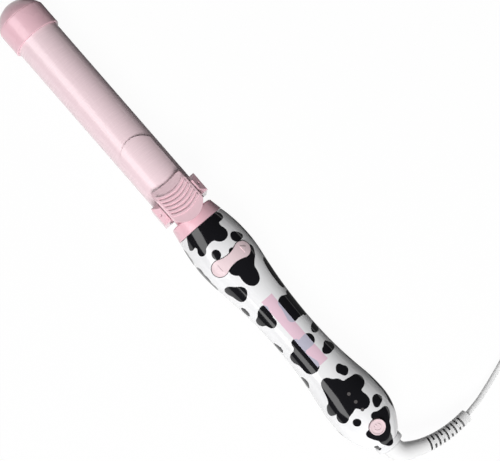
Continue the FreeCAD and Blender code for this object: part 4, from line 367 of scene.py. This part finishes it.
def handle_radius(station):
    """Radius of the handle at a station, in millimetres."""
    if station > REAR_BULGE_STATION:
        share = (station - REAR_BULGE_STATION) / (SHELL_END_STATION - REAR_BULGE_STATION)
        return BULGE_RADIUS - (BULGE_RADIUS - END_RADIUS) * min(1.0, share) ** 2
    share = (station - FRONT_BULGE_STATION) / (REAR_BULGE_STATION - FRONT_BULGE_STATION)
    wave = math.cos(2 * math.pi * share)
    return (BULGE_RADIUS + WAIST_RADIUS) / 2 + (BULGE_RADIUS - WAIST_RADIUS) / 2 * wave


def unrolled(station, across):
    """Where the view of a place measured in the plane of the axis meets the handle.

    Gives the true station, the distance round the handle, and how much the view shortens that distance."""
    sideways = Vector((0, math.cos(CAMERA_TILT), -math.sin(CAMERA_TILT)))
    aim = Vector((SEAM_X - station * MM, CAMERA_TARGET.y, AXIS_Z))
    aim += sideways * (across * MM - CAMERA_TARGET.y)
    way = (aim - CAMERA_PLACE).normalized()
    flat_way = Vector((way.y, way.z))
    middle = -Vector((CAMERA_PLACE.y, CAMERA_PLACE.z - AXIS_Z)).dot(flat_way) / flat_way.length_squared
    nearest = CAMERA_PLACE + way * middle
    miss = Vector((nearest.y, nearest.z - AXIS_Z)).length
    true_station = station
    for _ in range(VIEW_STEPS):
        radius = handle_radius(true_station) * MM
        half_chord = math.sqrt(max(0.0, radius * radius - miss * miss)) / flat_way.length
        place = nearest - way * half_chord
        true_station = (SEAM_X - place.x) / MM
    angle = math.atan2(place.y, place.z - AXIS_Z)
    facing = max(LEAST_FACING_SHARE, half_chord / radius)
    return true_station, angle * WRAP_RADIUS, facing * radius / MM / WRAP_RADIUS


def print_discs(first, last, low, high):
    """The spots that reach a stretch of stations and of distances from the line of the buttons."""
    spots = [[(*unrolled(station, across), radius * SPOT_GROWTH_SHARE) for station, across, radius in spot]
             for spot in FACE_SPOTS]
    spots += [[(station, around, 1.0, radius) for station, around, radius in spot] for spot in SIDE_SPOTS]

    def reaches(disc):
        along = first - SPOT_REACH < disc[0] < last + SPOT_REACH
        return along and low - SPOT_REACH < abs(disc[1]) < high + SPOT_REACH

    return [spot for spot in spots if any(reaches(disc) for disc in spot)]


def spot_field(tree, flat, spots):
    """Distance from the nearest spot's edge, less than zero inside it."""
    field = None
    for spot in spots:
        shape = None
        for station, around, shortening, radius in spot:
            stretch = tree.add("ShaderNodeVectorMath", {0: flat, 1: (1.0, shortening, 0.0),
                                                        2: (-station, -around * shortening, 0.0)},
                               operation="MULTIPLY_ADD")
            reach = tree.add("ShaderNodeVectorMath", {0: stretch.outputs[0]}, operation="LENGTH")
            edge = tree.math("SUBTRACT", reach.outputs["Value"], radius)
            shape = edge if shape is None else tree.math("SMOOTH_MIN", shape, edge, BLEND)
        field = shape if field is None else tree.math("MINIMUM", field, shape)
    return field


def inside(tree, value, low, high):
    """One where a value lies between two limits, and zero elsewhere."""
    above = tree.math("GREATER_THAN", value, low)
    return tree.math("MULTIPLY", above, tree.math("LESS_THAN", value, high))


def printed_shell(name, first, last, low, high):
    """Glossy white shell with the black cow print and a bare translucent pink band."""
    tree = Tree(name)
    place = tree.add("ShaderNodeSeparateXYZ", {0: tree.place()})
    station = tree.math("MULTIPLY", tree.math("SUBTRACT", SEAM_X, place.outputs[0]), 1 / MM)
    angle = tree.math("ARCTAN2", place.outputs[1], tree.math("SUBTRACT", place.outputs[2], AXIS_Z))
    wrap = tree.math("MULTIPLY", angle, WRAP_RADIUS)
    flat = tree.add("ShaderNodeCombineXYZ", {0: station, 1: wrap}).outputs[0]
    field = spot_field(tree, flat, print_discs(first, last, low, high))
    ink = tree.add("ShaderNodeMapRange", {"Value": field, "From Min": EDGE_SOFTNESS,
                                          "From Max": -EDGE_SOFTNESS})
    black = ink.outputs[0]
    white = tree.mix(tree.noise(SHELL_SCALE), shaded(WHITE_SHELL, SHELL_SHADE_SHARE), rgba(WHITE_SHELL))
    colour = tree.mix(black, white, rgba(BLACK_SPOT))
    if low == 0:
        middle = sum(BAND_STATIONS) / 2
        ends = [unrolled(end, 0.0)[0] for end in BAND_STATIONS]
        edges = [unrolled(middle, across)[1] for across in BAND_EDGES]
        band = tree.math("MULTIPLY", inside(tree, station, *ends), inside(tree, wrap, *edges))
        colour = tree.mix(band, colour, tree.mix(black, rgba(BAND_PINK), rgba(BAND_LAVENDER)))
    tree.set(Base_Color=colour, Roughness=0.09, Coat_Weight=0.25, Coat_Roughness=0.03)
    return tree.material


def dress_nodes():
    """Give every node its material: its own one, or that of its slot."""
    light = plastic("light_pink_plastic", LIGHT_PINK, 0.3, 0.25)
    # The soft white of the boot and the cord has painted shade in its slots and gaps
    soft = plastic("soft_white", SOFT_WHITE, 0.5, 0.0, edge=0.0, slot=SLOT_PAINTED_SHADE_REACH)
    end = SHELL_END_STATION
    prints = {
        "front_shell": printed_shell("front_print", 0.0, end, 0.0, HALF_ROUND),
        "rear_shell": printed_shell("rear_print", 0.0, end, HALF_ROUND, 2 * HALF_ROUND),
        "end_ring": printed_shell("ring_print", end, RING_END_STATION, 0.0, 2 * HALF_ROUND),
        "rotation_rocker": light,
        "power_button": light,
        "clip_lever": plastic("lever_pink", LEVER_PINK, 0.3, 0.3),
    }
    looks = {
        "pink_plastic": plastic("pink_plastic", PINK, 0.28, 0.35),
        "barrel_coat": coated_barrel("barrel_coat"),
        "dark_plastic": plastic("dark_plastic", (0.02, 0.02, 0.022), 0.5, 0.0),
        "white_plastic": plastic("white_plastic", (0.80, 0.80, 0.78), 0.4, 0.1),
        "soft_white": soft,
        "cord_white": soft,
        "tie_black": plastic("tie_black", (0.015, 0.015, 0.016), 0.6, 0.0),
        "steel": metal("steel", (0.56, 0.56, 0.58), 0.3),
        "brass": metal("brass", (0.78, 0.56, 0.22), 0.25),
        "aluminium": metal("aluminium", (0.75, 0.75, 0.77), 0.35, DRAWN_ALONG),
        "heater_film": plastic("heater_film", (0.60, 0.24, 0.03), 0.3, 0.3),
        "board": board_material("board"),
        "component": plastic("component", (0.018, 0.018, 0.018), 0.45, 0.0),
        "lens": lens_material("lens"),
        "led": plastic("led", (0.75, 0.72, 0.50), 0.25, 0.3),
        "carbon": plastic("carbon", (0.03, 0.03, 0.032), 0.7, 0.0),
    }
    for entry in frame["record"]["subparts"]:
        node = nodes[entry["node"]]
        node.data.materials.clear()
        node.data.materials.append(prints.get(entry["node"]) or looks[entry["material_slot"]])
    return looks


def bend_spring():
    """A copy of the spring in place of its part, with its placing baked into the mesh."""
    spring = link_object("bent_spring", nodes["clip_spring"].data.copy())
    spring.matrix_world = nodes["clip_spring"].matrix_world
    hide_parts("clip_spring")
    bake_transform(spring)


# Cord: the same route as in the part's own source; the offset and the routes are in millimetres
CORD_DIAMETER = 3.6 * MM
COIL_STEP = 4.5 * MM
COIL_OUTER_RADIUS = 28.5 * MM
COIL_OFFSET = (-13.0, -71.0, 0)
COIL_FLOOR = 3.3 * MM
COIL_START_ANGLE = math.radians(15.0)
COIL_LAYER_HALF_TURNS = 7
COIL_POINTS_PER_HALF_TURN = 8
CORD_RUN_DIAMETERS = 3
CORD_ROUNDNESS = 6
BOOT_EXIT = Vector((-215.57, -52.56, 9.63)) * MM
# Along X and Y from the boot's end, and the height above the floor
LEAD_ROUTE = [(0.6, -11.9, 7.1), (3.2, -24.0, 4.8), (6.5, -36.5, 3.6)]
TAIL_ROUTE = [(21.0, -85.5, 13.2), (22.4, -93.0, 9.4), (23.0, -100.0, 7.7), (23.2, -106.5, 7.5)]


def from_boot(offsets):
    """A place given along X and Y from the boot's end, and by its height."""
    return Vector((BOOT_EXIT.x, BOOT_EXIT.y, 0)) + Vector(offsets) * MM


def half_turn_plan():
    """Radius steps of the coil's half turns; a half turn marked True climbs to the next layer."""
    count = COIL_LAYER_HALF_TURNS
    inward = [(-turn, False) for turn in range(count)]
    outward = [(turn - count, False) for turn in range(count + 1)]
    back_inward = [(1 - turn, False) for turn in range(count + 1)]
    return inward + [(-count, True)] + outward + [(1, True)] + back_inward + [(-count, True)] + outward


def coil_start():
    """Where the coil starts, and the way to there from its middle."""
    way = Vector((math.cos(COIL_START_ANGLE), math.sin(COIL_START_ANGLE), 0))
    return from_boot(COIL_OFFSET) + way * COIL_OUTER_RADIUS + UP * COIL_FLOOR, way


def coil_points():
    """Control points of the coil, and where it ends."""
    point, way = coil_start()
    points = []
    per_half_turn = COIL_POINTS_PER_HALF_TURN
    for change, climbs in half_turn_plan():
        radius = COIL_OUTER_RADIUS + change * COIL_STEP / 2
        hub = point - way * radius
        side = way.cross(UP)
        rise = COIL_STEP if climbs else 0.0
        spread = radius / math.cos(math.pi / per_half_turn / 2)
        for step in range(per_half_turn):
            angle = math.pi * (step + 0.5) / per_half_turn
            climb = max(0.0, 2 * (step + 0.5) / per_half_turn - 1)
            lift = rise * climb * climb * (3 - 2 * climb)
            points.append(hub + (way * math.cos(angle) + side * math.sin(angle)) * spread + UP * lift)
        point = hub - way * radius + UP * rise
        way = -way
    return points, point


def make_cord(material):
    """One smooth cord from the boot through the tied coil to the plug."""
    turns, coil_end = coil_points()
    first_turn, outward = coil_start()
    ahead = outward.cross(UP)
    run = ahead * CORD_DIAMETER * CORD_RUN_DIAMETERS
    lead_in = first_turn - ahead * CORD_DIAMETER
    lead_out = coil_end + ahead * CORD_DIAMETER
    lead = [BOOT_EXIT] + [from_boot(place) for place in LEAD_ROUTE] + [lead_in - run, lead_in]
    tail = [lead_out, lead_out + run] + [from_boot(place) for place in TAIL_ROUTE]
    points = lead + turns + tail
    curve = bpy.data.curves.new("cord", "CURVE")
    curve.dimensions = "3D"
    curve.bevel_depth = CORD_DIAMETER / 2
    curve.bevel_resolution = CORD_ROUNDNESS
    curve.use_fill_caps = True
    curve.resolution_u = CORD_ROUNDNESS
    spline = curve.splines.new("NURBS")
    spline.points.add(len(points) - 1)
    for control, place in zip(spline.points, points):
        control.co = (*place, 1.0)
    spline.order_u = 3
    spline.use_endpoint_u = True
    curve.materials.append(material)
    cord = link_object("mains_cord", curve)
    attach(cord, "swivel")
    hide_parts("cord_lead", "cord_coil", "cord_tail")


# Stage, in metres; the card lies on the floor beside the barrel and the handle
FLOOR_REACH = 60.0
FLOOR_DROP = 0.2 * MM
FLOOR_GREY = (0.9, 0.9, 0.9)
FLOOR_WHITE_SHARE = 0.96
STAGE_ROUGHNESS = 0.9
CARD_SPAN = (-0.190, 0.26)
CARD_DEPTH = (-0.42, -0.026)
CARD_LIFT = 0.4 * MM
CARD_GREY = (0.10, 0.10, 0.10)
ROOM_STRENGTH = 0.03


def flat_sheet(name, span, depth, height):
    """A level rectangle of the stage."""
    mesh = bpy.data.meshes.new(name)
    corners = [(span[0], depth[0], 0), (span[1], depth[0], 0), (span[1], depth[1], 0), (span[0], depth[1], 0)]
    mesh.from_pydata(corners, [], [(0, 1, 2, 3)])
    sheet = link_object(name, mesh)
    sheet.location.z = height
    return sheet


def make_floor():
    """A wide pale floor that the camera sees as white, with the object's soft shadow on it."""
    reach = (-FLOOR_REACH, FLOOR_REACH)
    floor = flat_sheet("floor", reach, reach, -FLOOR_DROP)
    tree = Tree("floor")
    tree.set(Base_Color=rgba(FLOOR_GREY), Roughness=STAGE_ROUGHNESS)
    path = tree.add("ShaderNodeLightPath")
    shiny = tree.math("MAXIMUM", path.outputs["Is Glossy Ray"], path.outputs["Is Transmission Ray"])
    seen = tree.math("MAXIMUM", path.outputs["Is Camera Ray"], shiny)
    white = tree.add("ShaderNodeEmission", {"Color": (1, 1, 1, 1), "Strength": 1.0})
    pick = tree.add("ShaderNodeMixShader", {0: tree.math("MULTIPLY", seen, FLOOR_WHITE_SHARE)})
    tree.links.new(tree.shader.outputs[0], pick.inputs[1])
    tree.links.new(white.outputs[0], pick.inputs[2])
    tree.links.new(pick.outputs[0], tree.nodes["Material Output"].inputs["Surface"])
    floor.data.materials.append(tree.material)


def make_card():
    """A dark card beside the iron, which shades its far side; the camera looks through it."""
    card = flat_sheet("card", CARD_SPAN, CARD_DEPTH, CARD_LIFT)
    tree = Tree("card")
    tree.set(Base_Color=rgba(CARD_GREY), Roughness=STAGE_ROUGHNESS)
    card.data.materials.append(tree.material)
    card.visible_camera = False
    card.visible_shadow = False


def lamp_over(name, lean, way, away, width, length, watts):
    """An area lamp that faces the iron, leaning from straight above towards a level way."""
    data = bpy.data.lights.new(name, "AREA")
    data.shape = "RECTANGLE"
    data.size = width
    data.size_y = length
    data.energy = watts
    lamp = link_object(name, data)
    towards = way * math.sin(math.radians(lean)) + UP * math.cos(math.radians(lean))
    lamp.location = UP * AXIS_Z + towards * away
    lamp.rotation_mode = "QUATERNION"
    lamp.rotation_quaternion = (-towards).to_track_quat("-Z", "Y")
    return lamp


def make_lights():
    """A key lamp from the foot of the picture, a softbox at its left that the gloss shows, a fill and a room.

    Each lamp is given by its lean in degrees, its way, distance, width and length in metres, and watts."""
    left = Vector((math.cos(CAMERA_ROLL), math.sin(CAMERA_ROLL), 0))
    down = Vector((-math.sin(CAMERA_ROLL), math.cos(CAMERA_ROLL), 0))
    key = lamp_over("key", lean=35.0, way=down, away=2.0, width=1.0, length=1.0, watts=42.0)
    key.visible_glossy = False
    softbox = lamp_over("softbox", lean=45.0, way=left, away=0.8, width=1.8, length=0.40, watts=7.0)
    softbox.visible_diffuse = False
    fill = lamp_over("fill", lean=0.0, way=left, away=1.5, width=0.8, length=0.8, watts=2.8)
    fill.visible_glossy = False
    world = bpy.data.worlds.new("studio")
    world.use_nodes = True
    world.node_tree.nodes["Background"].inputs["Color"].default_value = (1, 1, 1, 1)
    world.node_tree.nodes["Background"].inputs["Strength"].default_value = ROOM_STRENGTH
    bpy.context.scene.world = world
    bpy.context.scene.view_settings.view_transform = "Standard"


make_camera()
looks = dress_nodes()
bend_spring()
make_cord(looks["cord_white"])
make_floor()
make_card()
make_lights()
